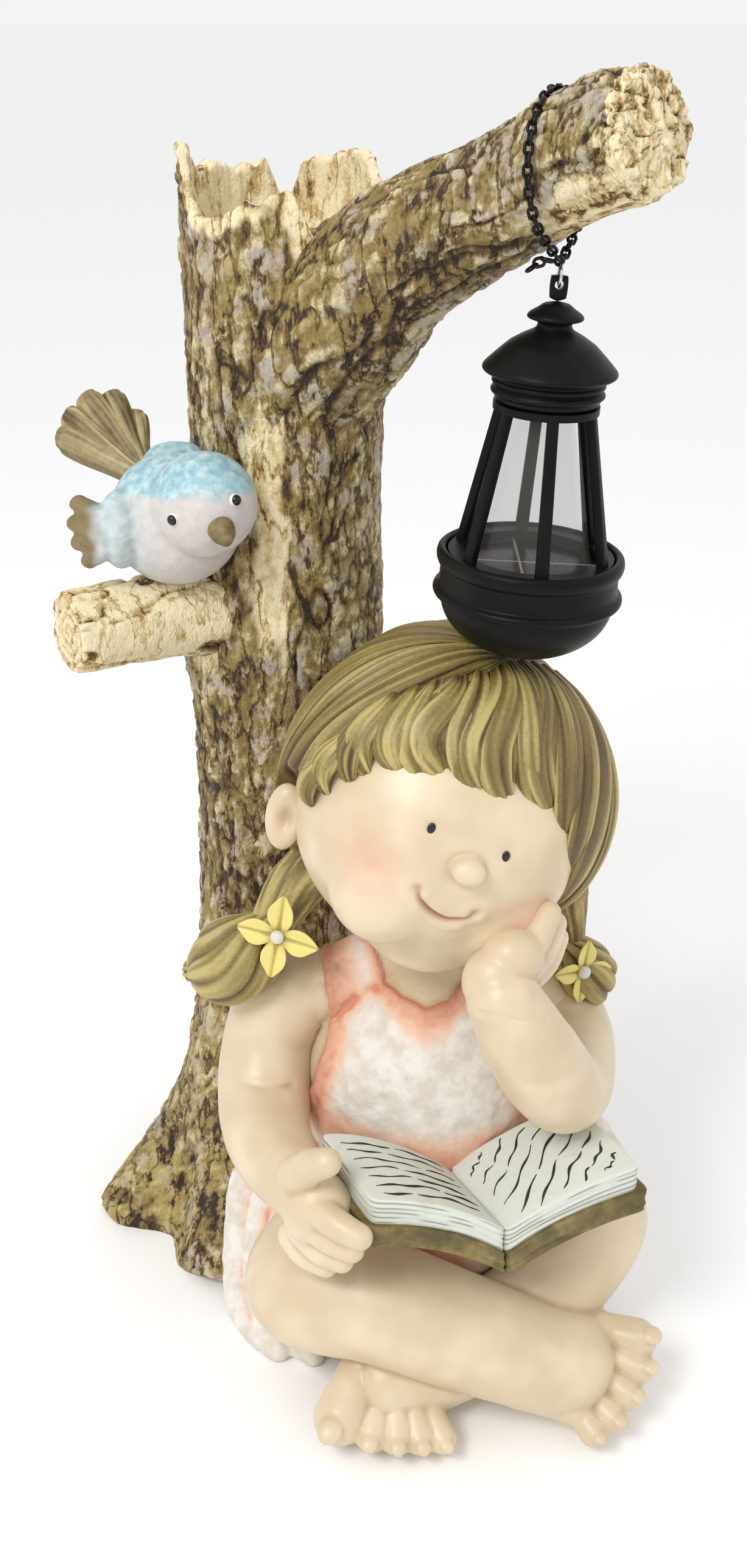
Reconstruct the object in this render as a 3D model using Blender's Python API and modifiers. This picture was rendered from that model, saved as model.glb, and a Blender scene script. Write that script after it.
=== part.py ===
# Girl reading under a cut tree: a hand-painted cast garden figure, with a bird on the tree's stub
# and a small solar lantern that hangs on a chain from the branch.
# Metres, +Z up. The front is -Y, and the origin is on the flat underside, below the girl's seat.
import math

import bmesh
import bpy
from mathutils import Matrix, Vector, noise
from mathutils.bvhtree import BVHTree

# Driving sizes of the casting
FIGURE_HEIGHT = 0.315       # the girl, from the ground to the top of her hair
TRUNK_DIAMETER = 0.078
TRUNK_FRONT_Y = 0.010       # the girl's back leans on the trunk here
TRUNK_RIGHT_X = 0.003
TRUNK_RISE = -0.011         # the broken top's splinters over the branch's middle, where the chain hangs
BREAK_DEPTH = 0.020         # from the highest splinter of the top to its lowest notch
ROOT_SPREAD = 0.100         # from the trunk's axis to the tip of the left root
BRANCH_DIAMETER = 0.042
BRANCH_REACH = 0.168        # from the trunk's axis to the sawn end, in plan
STUB_DIAMETER = 0.033
STUB_LENGTH = 0.056         # from the trunk's side to the cut end
BIRD_DIAMETER = 0.050
BARK_RELIEF = 0.0022

# Facets of the casting's forms before they are joined
TREE_FACETS = 1380
GIRL_FACETS = 2850
BIRD_FACETS = 320

# Driving sizes of the lantern
LANTERN_DIAMETER = 0.066    # over the bead of the base
LANTERN_LEAN = math.radians(3.0)
LANTERN_OVER_HAIR = -0.004  # the bowl's lowest point against the top of the hair, which slopes away under it
BOWL_HEIGHT = 0.022
WALL_HEIGHT = 0.0155        # the upright wall over the bowl
WALL_THICKNESS = 0.0022
BASE_BEAD = 0.0018          # the bead round the base stands out this far
RECESS_DEPTH = 0.006
PANEL_THICKNESS = 0.0016
CAGE_HEIGHT = 0.0505        # between the base and the roof's ring
CAGE_TOP_DIAMETER = 0.034
CAGE_RING_HEIGHT = 0.0026
POST_COUNT = 6
POST_TURN = math.radians(32.4)  # the first post, from +X round the lantern's axis, so that one stands in front
POST_WIDTH = 0.0046
POST_DEPTH = 0.0034
PANE_THICKNESS = 0.0012
ROOF_DIAMETER = 0.0445
ROOF_SKIRT_HEIGHT = 0.009   # the ring under the roof's rim
ROOF_HEIGHT = 0.0145
HOOD_DIAMETER = 0.0185
HOOD_HEIGHT = 0.0085
TAB_HEIGHT = 0.0078
TAB_WIDTH = 0.0058
TAB_THICKNESS = 0.0030
TAB_HOLE_DIAMETER = 0.0028
RING_DIAMETER = 0.0066      # the wire ring through the tab, across its middle line
RING_WIRE = 0.0010
CHAIN_DROP = 0.0070         # from the branch's underside to the top of the wire ring
CHAIN_TURN = math.radians(60.0)  # the plane of the chain's loop, from +X
CHAIN_SLANT = 0.09          # how far the loop leans towards the trunk, for each step up
LINK_LENGTH = 0.0066
LINK_WIDTH = 0.0042
LINK_WIRE = 0.0010
LINK_TOUCH = 0.0004         # how deep two crossing wires sink into each other
TAIL_LINKS = 3
GAP = 0.0003                # left between pieces that touch

# Flat sides of the turned pieces: what sits in the base has as many as the base, so that it fits
BASE_SIDES = 18
ROOF_SIDES = 16

# Worked out from them
UNIT = FIGURE_HEIGHT / 315  # places on the figure are counted in 315ths of its height
TRUNK_RADIUS = TRUNK_DIAMETER / 2
TRUNK_X = TRUNK_RIGHT_X - TRUNK_RADIUS
TRUNK_Y = TRUNK_FRONT_Y + TRUNK_RADIUS
LANTERN_RADIUS = LANTERN_DIAMETER / 2
BASE_HEIGHT = BOWL_HEIGHT + WALL_HEIGHT
ROOF_BASE = BASE_HEIGHT + CAGE_HEIGHT
TAB_BASE = ROOF_BASE + ROOF_SKIRT_HEIGHT + ROOF_HEIGHT + HOOD_HEIGHT
TAB_HOLE_Z = TAB_BASE + TAB_HEIGHT - 0.5 * TAB_WIDTH
RING_Z = TAB_HOLE_Z + RING_DIAMETER / 2 - (TAB_HOLE_DIAMETER - RING_WIRE) / 2 + GAP
LANTERN_BOTTOM = FIGURE_HEIGHT + LANTERN_OVER_HAIR
HANG = Vector((0.0590, -0.0450, LANTERN_BOTTOM + RING_Z + RING_DIAMETER / 2))
BRANCH_Z = HANG.z + CHAIN_DROP + BRANCH_DIAMETER / 2
TRUNK_TOP = BRANCH_Z + TRUNK_RISE
VOXEL = 0.0017


def clear_scene():
    for obj in list(bpy.data.objects):
        bpy.data.objects.remove(obj, do_unlink=True)


def collection(name):
    made = bpy.data.collections.new(name)
    bpy.context.scene.collection.children.link(made)
    return made


def material(name, colour, roughness, metallic=0.0, alpha=1.0):
    made = bpy.data.materials.new(name)
    made.use_nodes = True
    shader = made.node_tree.nodes["Principled BSDF"]
    shader.inputs["Base Color"].default_value = (*colour, 1.0)
    shader.inputs["Roughness"].default_value = roughness
    shader.inputs["Metallic"].default_value = metallic
    shader.inputs["Alpha"].default_value = alpha
    return made


def object_of(mesh, name, home):
    made = bpy.data.objects.new(name, mesh)
    home.objects.link(made)
    return made


def mesh_of(bm, name):
    mesh = bpy.data.meshes.new(name)
    bm.to_mesh(mesh)
    bm.free()
    return mesh


def applied(obj):
    """The object with its modifiers made real, in the same place and under the same name."""
    graph = bpy.context.evaluated_depsgraph_get()
    mesh = bpy.data.meshes.new_from_object(obj.evaluated_get(graph), depsgraph=graph)
    if obj.type == "MESH":
        obj.modifiers.clear()
        obj.data = mesh
        return obj
    made = object_of(mesh, obj.name + "_mesh", obj.users_collection[0])
    made.matrix_world = obj.matrix_world.copy()
    bpy.data.objects.remove(obj, do_unlink=True)
    return made


# Clay: round forms that are pressed together into one casting

def spline_points(points, steps=5):
    """Points of a smooth curve through the given ones; each is (x, y, z, radius)."""
    rows = [Vector(p) for p in points]
    rows = [2 * rows[0] - rows[1]] + rows + [2 * rows[-1] - rows[-2]]
    found = []
    for a, b, c, d in zip(rows, rows[1:], rows[2:], rows[3:]):
        for step in range(steps):
            t = step / steps
            found.append(0.5 * (2 * b + (c - a) * t + (2 * a - 5 * b + 4 * c - d) * t * t
                                + (3 * b - a - 3 * c + d) * t ** 3))
    found.append(rows[-2])
    return found


def ball(clay, centre, radii, turn=Matrix.Identity(4), segments=28):
    """An egg with three radii, turned about its own middle."""
    size = Matrix.Diagonal((*radii, 1.0))
    egg = bmesh.new()
    bmesh.ops.create_uvsphere(egg, u_segments=segments, v_segments=segments // 2, radius=1.0)
    mesh = mesh_of(egg, "egg")
    mesh.transform(Matrix.Translation(Vector(centre)) @ turn @ size)
    clay.from_mesh(mesh)
    bpy.data.meshes.remove(mesh)


def roll(clay, points, round_ends=True):
    """A roll of clay along points, each (x, y, z, radius) in metres."""
    rows = spline_points(points)
    curve = bpy.data.curves.new("roll", "CURVE")
    curve.dimensions = "3D"
    curve.bevel_depth = 1.0
    curve.bevel_resolution = 4
    curve.use_fill_caps = True
    line = curve.splines.new("POLY")
    line.points.add(len(rows) - 1)
    for point, row in zip(line.points, rows):
        point.co = (*row[:3], 1.0)
        point.radius = row[3]
    shape = object_of(curve, "roll", guides)
    graph = bpy.context.evaluated_depsgraph_get()
    mesh = bpy.data.meshes.new_from_object(shape.evaluated_get(graph), depsgraph=graph)
    clay.from_mesh(mesh)
    bpy.data.objects.remove(shape, do_unlink=True)
    if round_ends:
        for row in (rows[0], rows[-1]):
            ball(clay, row[:3], (row[3],) * 3, segments=16)


def on_figure(*points):
    """Points (x, y, z, radius) on the figure, counted in 315ths of its height, in metres."""
    return [Vector(p) * UNIT for p in points]


def between(a, b, share):
    return Vector(a).lerp(Vector(b), share)


def pressed(clay, name, voxel, smooth_steps):
    """The forms pressed into one closed skin, with their joins softened."""
    made = object_of(mesh_of(clay, name), name, guides)
    skin = made.modifiers.new("skin", "REMESH")
    skin.mode = "VOXEL"
    skin.voxel_size = voxel
    soft = made.modifiers.new("soft", "SMOOTH")
    soft.factor = 0.5
    soft.iterations = smooth_steps
    return applied(made)


# The tree

def trunk_point(height, radius_share, dx=0.0, dy=0.0):
    """A point of the trunk's line: height as a share of the trunk, the rest in trunk radii."""
    return (TRUNK_X + dx * TRUNK_RADIUS, TRUNK_Y + dy * TRUNK_RADIUS, height * TRUNK_TOP,
            radius_share * TRUNK_RADIUS)


def root(clay, angle, spread, thickness):
    """A root that leaves the trunk's foot at an angle from +X and runs out to its spread."""
    way = Vector((math.cos(angle), math.sin(angle), 0.0))
    foot = Vector((TRUNK_X, TRUNK_Y, 0.0))
    rows = []
    for share, height, radius in ((0.05, 0.30, 0.85), (0.36, 0.14, 0.92), (0.66, 0.045, 0.80), (0.86, 0.012, 0.62)):
        place = foot + way * spread * share
        rows.append((place.x, place.y, height * TRUNK_TOP, radius * thickness))
    roll(clay, rows)


def branch_line():
    """The branch from inside the trunk to its sawn end, through the point over the lantern."""
    reach = BRANCH_REACH
    half = BRANCH_DIAMETER / 2
    over = Vector((HANG.x - 0.0015, HANG.y + 0.003, BRANCH_Z))
    start = Vector((TRUNK_X, TRUNK_Y, BRANCH_Z - 0.092))
    way = Vector((over.x - start.x, over.y - start.y, 0.0)).normalized()
    rows = [(*start, 1.55 * half)]
    for share, drop, thick in ((0.22, 0.054, 1.42), (0.38, 0.033, 1.18), (0.61, 0.014, 1.00), (0.73, 0.005, 0.98),
                               (0.85, -0.004, 1.00), (0.94, -0.010, 0.95), (1.0, -0.0135, 0.88)):
        place = start + way * reach * share
        rows.append((place.x, place.y, BRANCH_Z - drop, thick * half))
    return rows


def knot(clay, height, angle, size):
    """A grown-over knot on the trunk's side."""
    way = Vector((math.cos(angle), math.sin(angle), 0.0))
    place = Vector((TRUNK_X, TRUNK_Y, height * TRUNK_TOP)) + way * 0.90 * TRUNK_RADIUS
    ball(clay, place, (size, size, 1.15 * size))


def stub_line():
    """The cut stub that the bird sits on: it leaves the trunk to the left and a little forward."""
    way = Vector((-0.84, -0.54, 0.0)).normalized()
    foot = Vector((TRUNK_X, TRUNK_Y, 0.652 * TRUNK_TOP))
    rows = []
    for share, thick in ((0.05, 1.20), (0.45, 1.05), (0.75, 1.02), (1.0, 0.92)):
        place = foot + way * (TRUNK_RADIUS + STUB_LENGTH) * share
        rows.append((*place, thick * STUB_DIAMETER / 2))
    return rows


def bark_push(place):
    """How far the bark stands out at a point: upright plates with cracks between them."""
    wide = Vector((place.x * 78, place.y * 78, place.z * 26))
    small = Vector((place.x * 170 + 7.0, place.y * 170, place.z * 70))
    plates = abs(noise.noise(wide)) * 2.2
    return BARK_RELIEF * (min(plates, 1.0) - 0.45 + 0.35 * noise.noise(small))


def make_tree():
    clay = bmesh.new()
    roll(clay, [trunk_point(-0.02, 1.45), trunk_point(0.10, 1.20), trunk_point(0.24, 1.06, 0.02),
                trunk_point(0.42, 1.02), trunk_point(0.58, 1.00), trunk_point(0.72, 0.96, 0.05),
                trunk_point(0.88, 0.97, 0.06), trunk_point(1.04, 0.93, 0.02)], round_ends=False)
    for angle, spread, thickness in ((196, 1.00, 0.030), (228, 0.92, 0.032), (262, 0.80, 0.030),
                                     (345, 0.95, 0.032), (40, 0.62, 0.026), (95, 0.55, 0.026), (145, 0.62, 0.026)):
        root(clay, math.radians(angle), spread * ROOT_SPREAD, thickness)
    branch = branch_line()
    roll(clay, branch, round_ends=False)
    roll(clay, stub_line(), round_ends=False)
    for height, angle, size in ((0.905, -62, 0.010), (0.78, -80, 0.013), (0.60, -120, 0.010)):
        knot(clay, height, math.radians(angle), size)
    tree = pressed(clay, "tree_clay", 0.0022, 3)
    end = Vector(branch[-1][:3])
    stub_end = Vector(stub_line()[-1][:3])
    normals = [normal.vector.copy() for normal in tree.data.vertex_normals]
    for vertex, normal in zip(tree.data.vertices, normals):
        place = vertex.co.copy()
        radial = Vector((place.x - TRUNK_X, place.y - TRUNK_Y))
        bare = min(1.0, (place - end).length / 0.030, (place - stub_end).length / 0.045)
        vertex.co += normal * bark_push(place) * bare
        top = (place.z - 0.93 * TRUNK_TOP) / (0.11 * TRUNK_TOP)
        if top > 0.0 and radial.length < 1.15 * TRUNK_RADIUS:
            vertex.co.z += min(top, 1.0) * break_height(radial)
    return tree


def break_height(radial):
    """The broken top against its mean height: splinters round the edge and a hollow inside."""
    angle = math.atan2(radial.y, radial.x)
    edge = min(radial.length / TRUNK_RADIUS, 1.0)
    splinters = 0.5 * math.sin(3 * angle + 0.7) + 0.35 * math.sin(7 * angle + 2.1)
    return BREAK_DEPTH * (edge ** 2 * (0.30 + 0.5 * splinters) - 0.75 * (1.0 - edge ** 2)) - 0.04 * TRUNK_TOP


# The girl

HEAD = Vector((25, -46, 246)) * UNIT
HEAD_TILT = Matrix.Rotation(math.radians(20.7), 4, "Y")
HEAD_TURN = Matrix.Rotation(math.radians(9.0), 4, "Z")
HEAD_POSE = HEAD_TURN @ HEAD_TILT
SKULL = Vector((55, 53, 53)) * UNIT
HAIR_SIZE = Vector((61, 55, 64)) * UNIT
HAIR_CENTRE = HEAD + HEAD_POSE.to_3x3() @ (Vector((0, 9, 3)) * UNIT)


def on_hair(side, nod, lift=0.0):
    """A point of the hair's surface: side from the middle to her left, nod from the crown forward, in degrees."""
    nod, side = math.radians(nod), math.radians(side)
    local = Vector((math.sin(nod) * math.sin(side), -math.sin(nod) * math.cos(side), math.cos(nod)))
    local = Vector([a * (b + lift) for a, b in zip(local, HAIR_SIZE)])
    return HAIR_CENTRE + HEAD_POSE.to_3x3() @ local


def lock(clay, start, end, thickness, lift):
    """A lock of hair laid over the head from start to end, each (side, nod), thin at its tip."""
    rows = []
    for step in range(6):
        share = step / 5
        side = start[0] + (end[0] - start[0]) * share
        nod = start[1] + (end[1] - start[1]) * share
        width = thickness * (0.55 + 1.1 * share * (1.25 - share)) * (1.0 if step < 5 else 0.55)
        rows.append((*on_hair(side, nod, lift * UNIT), width * UNIT))
    roll(clay, rows)


def make_hair(clay):
    ball(clay, HAIR_CENTRE + HEAD_POSE.to_3x3() @ Vector((0, 3 * UNIT, 0)), HAIR_SIZE - Vector((1, 4, 1)) * UNIT,
         HEAD_POSE, 40)
    # The fringe falls from the parting to the brow
    for side in range(-62, 63, 14):
        tip = 66 + 10 * abs(side / 62) ** 2 * (1 if side < 0 else 1.8)
        lock(clay, (side * 0.9 + 10, 24), (side, tip), 7.5, 0.5)
    # Long locks sweep back and down behind the ears
    for side in range(84, 277, 16):
        lock(clay, (side, 20), (side, 118 - 14 * abs(180 - side) / 96), 8.5, -2.5)


def bunch(clay, centre, size, droop):
    """A gathered bunch of hair: an egg with grooves between its locks."""
    centre = Vector(centre) * UNIT
    ball(clay, centre, Vector(size) * 0.86 * UNIT)
    for step in range(9):
        angle = 2 * math.pi * step / 9
        rows = []
        for share in (-0.85, -0.45, 0.0, 0.45, 0.85):
            out = math.sqrt(1.0 - share * share) * 0.82
            across = Vector((math.cos(angle) * size[0] * out, math.sin(angle) * size[1] * out, -share * size[2]))
            across.x += droop * share * size[0]
            rows.append((*(centre + across * UNIT), (2.6 + 1.6 * (1 - share * share)) * UNIT))
        roll(clay, rows)


def flower(clay, centre, facing, size, turn):
    """Four petals round a button, facing outwards."""
    centre = Vector(centre) * UNIT
    facing = Vector(facing).normalized()
    pose = facing.to_track_quat("Z", "Y").to_matrix().to_4x4()
    for step in range(4):
        angle = turn + step * math.pi / 2
        petal = pose @ Matrix.Rotation(angle, 4, "Z")
        out = petal.to_3x3() @ Vector((0.56 * size, 0, 0.06 * size)) * UNIT
        ball(clay, centre + out, Vector((0.50 * size, 0.34 * size, 0.17 * size)) * UNIT, petal, 16)
    ball(clay, centre + facing * 1.2 * UNIT, Vector((0.18, 0.18, 0.16)) * size * UNIT, pose, 12)


def digits(clay, roots, knuckles, tips, count, thick, thin):
    """Fingers or toes side by side: each list gives the first and the last one's place."""
    for step in range(count):
        share = step / (count - 1)
        radius = thick + (thin - thick) * min(1.0, share * 1.4)
        rows = [(*between(*roots, share), radius), (*between(*knuckles, share), radius),
                (*between(*tips, share), radius * 0.82)]
        roll(clay, on_figure(*rows))


def make_head(clay):
    ball(clay, HEAD, SKULL, HEAD_POSE, 40)
    pose = HEAD_POSE.to_3x3()
    ball(clay, HEAD + pose @ (Vector((1.5, -52.5, 4.5)) * UNIT), Vector((6.6, 5.0, 4.8)) * UNIT, HEAD_POSE, 16)
    ball(clay, HEAD + pose @ (Vector((-54, -6, 3)) * UNIT), Vector((4.5, 8.5, 12)) * UNIT, HEAD_POSE, 20)
    ball(clay, HEAD + pose @ (Vector((-24, -32, -20)) * UNIT), Vector((22, 20, 20)) * UNIT, HEAD_POSE, 24)
    ball(clay, HEAD + pose @ (Vector((26, -32, -20)) * UNIT), Vector((22, 20, 20)) * UNIT, HEAD_POSE, 24)


def make_body(clay):
    roll(clay, on_figure((26, -34, 60, 48), (24, -38, 100, 48), (22, -38, 132, 44), (23, -38, 156, 32),
                         (25, -46, 190, 22)))
    roll(clay, on_figure((-20, -30, 152, 22), (22, -26, 162, 26), (64, -26, 152, 21)))
    ball(clay, on_figure((23, -36, 108))[0], Vector((55, 44, 62)) * UNIT)
    ball(clay, on_figure((24, -28, 30))[0], Vector((72, 48, 50)) * UNIT)
    ball(clay, on_figure((-24, -44, 18))[0], Vector((40, 40, 40)) * UNIT)
    # Folds of the skirt's left side, from the waist round to the hem under the knee
    for shift in (0, 9, 18):
        roll(clay, on_figure((-24 + shift, 0 - shift, 88, 9), (-50 + shift, -24 - shift, 52, 9),
                             (-58 + shift, -44 - shift * 0.8, 22, 8), (-52 + shift, -64 - shift * 0.6, 5, 7),
                             (-30 + shift, -80 - shift * 0.2, 4, 6)))
    # The skirt's corner behind the right knee
    roll(clay, on_figure((80, -34, 92, 14), (98, -46, 74, 11), (100, -56, 48, 10), (84, -72, 34, 9)))


def make_legs(clay):
    roll(clay, on_figure((8, -46, 62, 30), (-14, -70, 56, 27), (-28, -88, 50, 24.5), (2, -98.5, 54, 24),
                         (31, -108, 47, 23.5), (60, -109, 34, 22.5), (81, -106, 24, 22.5), (95, -106, 22, 19)))
    digits(clay, ((100, -100, 33), (84, -116, 14)), ((106, -102, 34), (86, -125, 11)),
           ((111, -104, 33), (87, -131, 8)), 5, 7.6, 5.4)
    roll(clay, on_figure((48, -44, 64, 32), (74, -56, 68, 28), (90, -65, 60, 24), (72, -82, 40, 21),
                         (42, -95, 26, 20), (18, -108, 20, 19), (2, -114, 17, 19)))
    ball(clay, on_figure((3, -118, 14))[0], Vector((22, 16, 15)) * UNIT)
    roll(clay, on_figure((-10, -110, 17, 9.5), (-14, -122, 14, 9.0), (-15, -130, 11, 8.0)))
    digits(clay, ((0, -120, 13), (20, -116, 12)), ((1, -130, 11), (23, -124, 10)),
           ((2, -136, 8), (26, -130, 7.5)), 4, 6.6, 5.4)


def make_arms(clay):
    roll(clay, on_figure((-22, -34, 160, 17), (-36, -32, 152, 18), (-42, -38, 136, 19), (-45, -52, 120, 19.5),
                         (-42, -72, 112, 18), (-34, -90, 112, 15.5), (-25, -106, 115, 13)))
    ball(clay, on_figure((-21, -111, 112))[0], Vector((14, 14, 16)) * UNIT)
    roll(clay, on_figure((-28, -106, 124, 8), (-22, -114, 138, 7), (-15, -121, 146, 5.8)))
    digits(clay, ((-24, -114, 120), (-33, -106, 96)), ((-12, -125, 117), (-25, -114, 92)),
           ((-1, -130, 114), (-16, -118, 92)), 4, 6.4, 5.6)
    roll(clay, on_figure((60, -30, 160, 15), (74, -32, 150, 17), (81, -46, 136, 17.5), (77, -72, 132, 17.5),
                         (69, -92, 144, 17), (60, -100, 166, 18), (50, -103, 188, 16.5), (43, -103, 204, 13)))
    ball(clay, on_figure((46, -100, 211))[0], Vector((13, 11, 13)) * UNIT)
    digits(clay, ((50, -98, 216), (58, -90, 210)), ((60, -91, 222), (66, -84, 212)),
           ((66, -84, 229), (72, -76, 218)), 4, 5.4, 4.6)


BOOK_GUTTER = Vector((39.5, -103, 109)) * UNIT
BOOK_LENGTH = Vector((20, -38, 2)) * UNIT
PAGE_LEFT = Vector((-50, -3, 0)) * UNIT
PAGE_RIGHT = Vector((51, 12, 0)) * UNIT
LEFT_RISE = 19 * UNIT
RIGHT_RISE = 14 * UNIT
PAGE_THICKNESS = 12 * UNIT
COVER_THICKNESS = 5 * UNIT


def page_height(share, rise):
    """The open page's curve: steep out of the gutter, then level towards its outer edge."""
    return rise * math.sin(0.5 * math.pi * min(share, 1.0)) ** 0.8


def leaf_block(clay, across, rise, overhang, top, bottom, length):
    """One side of the open book, an outline drawn across the gutter and extruded along it."""
    steps = 8
    upper = [(step / steps * (1 + overhang), page_height(step / steps, rise) + top) for step in range(steps + 1)]
    lower = [(x, z - top + bottom) for x, z in reversed(upper)]
    curve = bpy.data.curves.new("leaf", "CURVE")
    curve.dimensions = "2D"
    curve.fill_mode = "BOTH"
    curve.extrude = 0.5
    line = curve.splines.new("POLY")
    line.use_cyclic_u = True
    line.points.add(len(upper) + len(lower) - 1)
    for point, (x, z) in zip(line.points, upper + lower):
        point.co = (x, z, 0.0, 1.0)
    shape = object_of(curve, "leaf", guides)
    leaf = applied(shape)
    pose = Matrix.Identity(4)
    for row in range(3):
        pose[row][0] = across[row]
        pose[row][1] = 1.0 if row == 2 else 0.0
        pose[row][2] = BOOK_LENGTH[row] * length
        pose[row][3] = BOOK_GUTTER[row]
    leaf.data.transform(pose)
    block = bmesh.new()
    block.from_mesh(leaf.data)
    bmesh.ops.remove_doubles(block, verts=block.verts, dist=1e-6)
    bmesh.ops.recalc_face_normals(block, faces=block.faces)
    block.to_mesh(leaf.data)
    block.free()
    clay.from_mesh(leaf.data)
    bpy.data.objects.remove(leaf, do_unlink=True)


def make_book(clay):
    for across, rise in ((PAGE_LEFT, LEFT_RISE), (PAGE_RIGHT, RIGHT_RISE)):
        leaf_block(clay, across, rise, 0.0, 0.0, -PAGE_THICKNESS, 1.0)
        leaf_block(clay, across, rise, 0.04, -PAGE_THICKNESS + 1.5 * UNIT, -PAGE_THICKNESS - COVER_THICKNESS, 1.08)


def make_bird():
    clay = bmesh.new()
    half = BIRD_DIAMETER / 2
    line = stub_line()
    seat = Vector(line[1][:3]).lerp(Vector(line[2][:3]), 0.35)
    body = seat + Vector((0.30 * half, -0.15 * half, 0.5 * STUB_DIAMETER + 0.93 * half))
    ball(clay, body, (0.98 * half, 0.98 * half, half))
    ball(clay, body + Vector((0.40, -0.50, 0.42)) * half, (0.78 * half,) * 3)
    ball(clay, body + Vector((0.82, -1.32, 0.18)) * half, (0.17 * half, 0.30 * half, 0.19 * half))
    for step in range(4):
        side = (step - 1.5) / 1.5
        start = body + Vector((-0.50, 0.65, 0.55)) * half
        tip = start + Vector((-1.00 + 0.36 * side, 0.45 + 0.1 * side, 0.28 + 0.38 * (side + 0.2))) * half
        roll(clay, [(*start, 0.30 * half), (*start.lerp(tip, 0.5), 0.22 * half), (*tip, 0.23 * half)])
    for shoulder in ((-0.62, -0.35, -0.25), (-0.10, 0.60, 0.60)):
        wing = body + Vector(shoulder) * half
        ball(clay, wing, (0.42 * half, 0.55 * half, 0.55 * half))
        for step in range(3):
            tip = wing + Vector((-0.62, 0.42, 0.36 - 0.36 * step)) * half
            roll(clay, [(*wing, 0.24 * half), (*tip, 0.18 * half)])
    return pressed(clay, "bird_clay", 0.6 * VOXEL, 1)


def make_girl():
    clay = bmesh.new()
    make_head(clay)
    make_hair(clay)
    make_body(clay)
    make_legs(clay)
    make_arms(clay)
    make_book(clay)
    roll(clay, on_figure((-14, -30, 222, 10), (-34, -38, 202, 9), (-48, -40, 188, 9)))
    bunch(clay, (-56, -40, 180), (17, 14, 17), 0.10)
    flower(clay, (-36, -54, 200), (-0.35, -0.90, 0.25), 16, 0.35)
    roll(clay, on_figure((-40, -40, 196, 6), (-36, -53, 200, 4)))
    roll(clay, on_figure((66, -26, 212, 10), (76, -28, 192, 8), (82, -30, 178, 8)))
    bunch(clay, (85, -30, 169), (12, 11, 14), 0.0)
    flower(clay, (82, -42, 172), (0.45, -0.88, 0.10), 13, 0.2)
    roll(clay, on_figure((84, -32, 170, 5), (82, -41, 172, 4)))
    return pressed(clay, "girl_clay", VOXEL, 2)


def faceted(form, count):
    """The form with about this many triangles, kept where it curves most."""
    thin = form.modifiers.new("facets", "DECIMATE")
    thin.ratio = count / (2 * len(form.data.polygons))
    return applied(form)


def make_casting():
    """The tree, the girl, her book and the bird, joined into one casting and cut flat below."""
    tree = faceted(make_tree(), TREE_FACETS)
    casting = joined(tree, [faceted(make_girl(), GIRL_FACETS), faceted(make_bird(), BIRD_FACETS)])
    casting.name = "statue"
    cut = bmesh.new()
    room = 2 * FIGURE_HEIGHT
    bmesh.ops.create_cube(cut, size=1.0, matrix=Matrix.Translation((0, 0, -room / 2)) @ Matrix.Scale(room, 4))
    ground = object_of(mesh_of(cut, "ground"), "ground", guides)
    ground.hide_render = True
    ground.display_type = "WIRE"
    flat = casting.modifiers.new("flat_foot", "BOOLEAN")
    flat.operation = "DIFFERENCE"
    flat.solver = "EXACT"
    flat.object = ground
    casting = applied(casting)
    guides.objects.unlink(casting)
    parts.objects.link(casting)
    casting.data.materials.clear()
    casting.data.materials.append(material("painted_resin", (0.42, 0.34, 0.20), 0.75))
    return casting


# The lantern, worked out upright with its bowl's lowest point at its own zero

def turned(name, profile, steps, finish, home):
    """A turned piece: its profile, top to bottom down the outer side, spun about the lantern's axis."""
    mesh = bpy.data.meshes.new(name)
    mesh.from_pydata([(r, 0.0, z) for r, z in profile], [(i, i + 1) for i in range(len(profile) - 1)], [])
    made = object_of(mesh, name, home)
    spin = made.modifiers.new("turned", "SCREW")
    spin.axis = "Z"
    spin.steps = steps
    spin.render_steps = steps
    spin.use_merge_vertices = True
    spin.merge_threshold = 0.00005
    spin.use_smooth_shade = True
    mesh.materials.append(finish)
    return made


def arc(centre_r, centre_z, radius_r, radius_z, start, end, count):
    """Profile points on an oval arc, by angles in degrees from the outward direction."""
    found = []
    for step in range(count + 1):
        angle = math.radians(start + (end - start) * step / count)
        found.append((centre_r + radius_r * math.cos(angle), centre_z + radius_z * math.sin(angle)))
    return found


def joined(first, others, solver="EXACT"):
    for other in others:
        union = first.modifiers.new("with_" + other.name, "BOOLEAN")
        union.operation = "UNION"
        union.solver = solver
        union.object = other
    first = applied(first)
    for other in others:
        bpy.data.objects.remove(other, do_unlink=True)
    return first


def seat_radius():
    """The corners of what sits in the base's recess, clear of its wall."""
    return LANTERN_RADIUS - BASE_BEAD - WALL_THICKNESS - GAP


def post_foot_radius():
    """A post's middle line at its foot, with its corners inside the flat sides of the foot ring."""
    return seat_radius() * math.cos(math.pi / BASE_SIDES) - POST_DEPTH / 2 - GAP


def post_top_radius():
    return CAGE_TOP_DIAMETER / 2 - POST_DEPTH / 2


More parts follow.
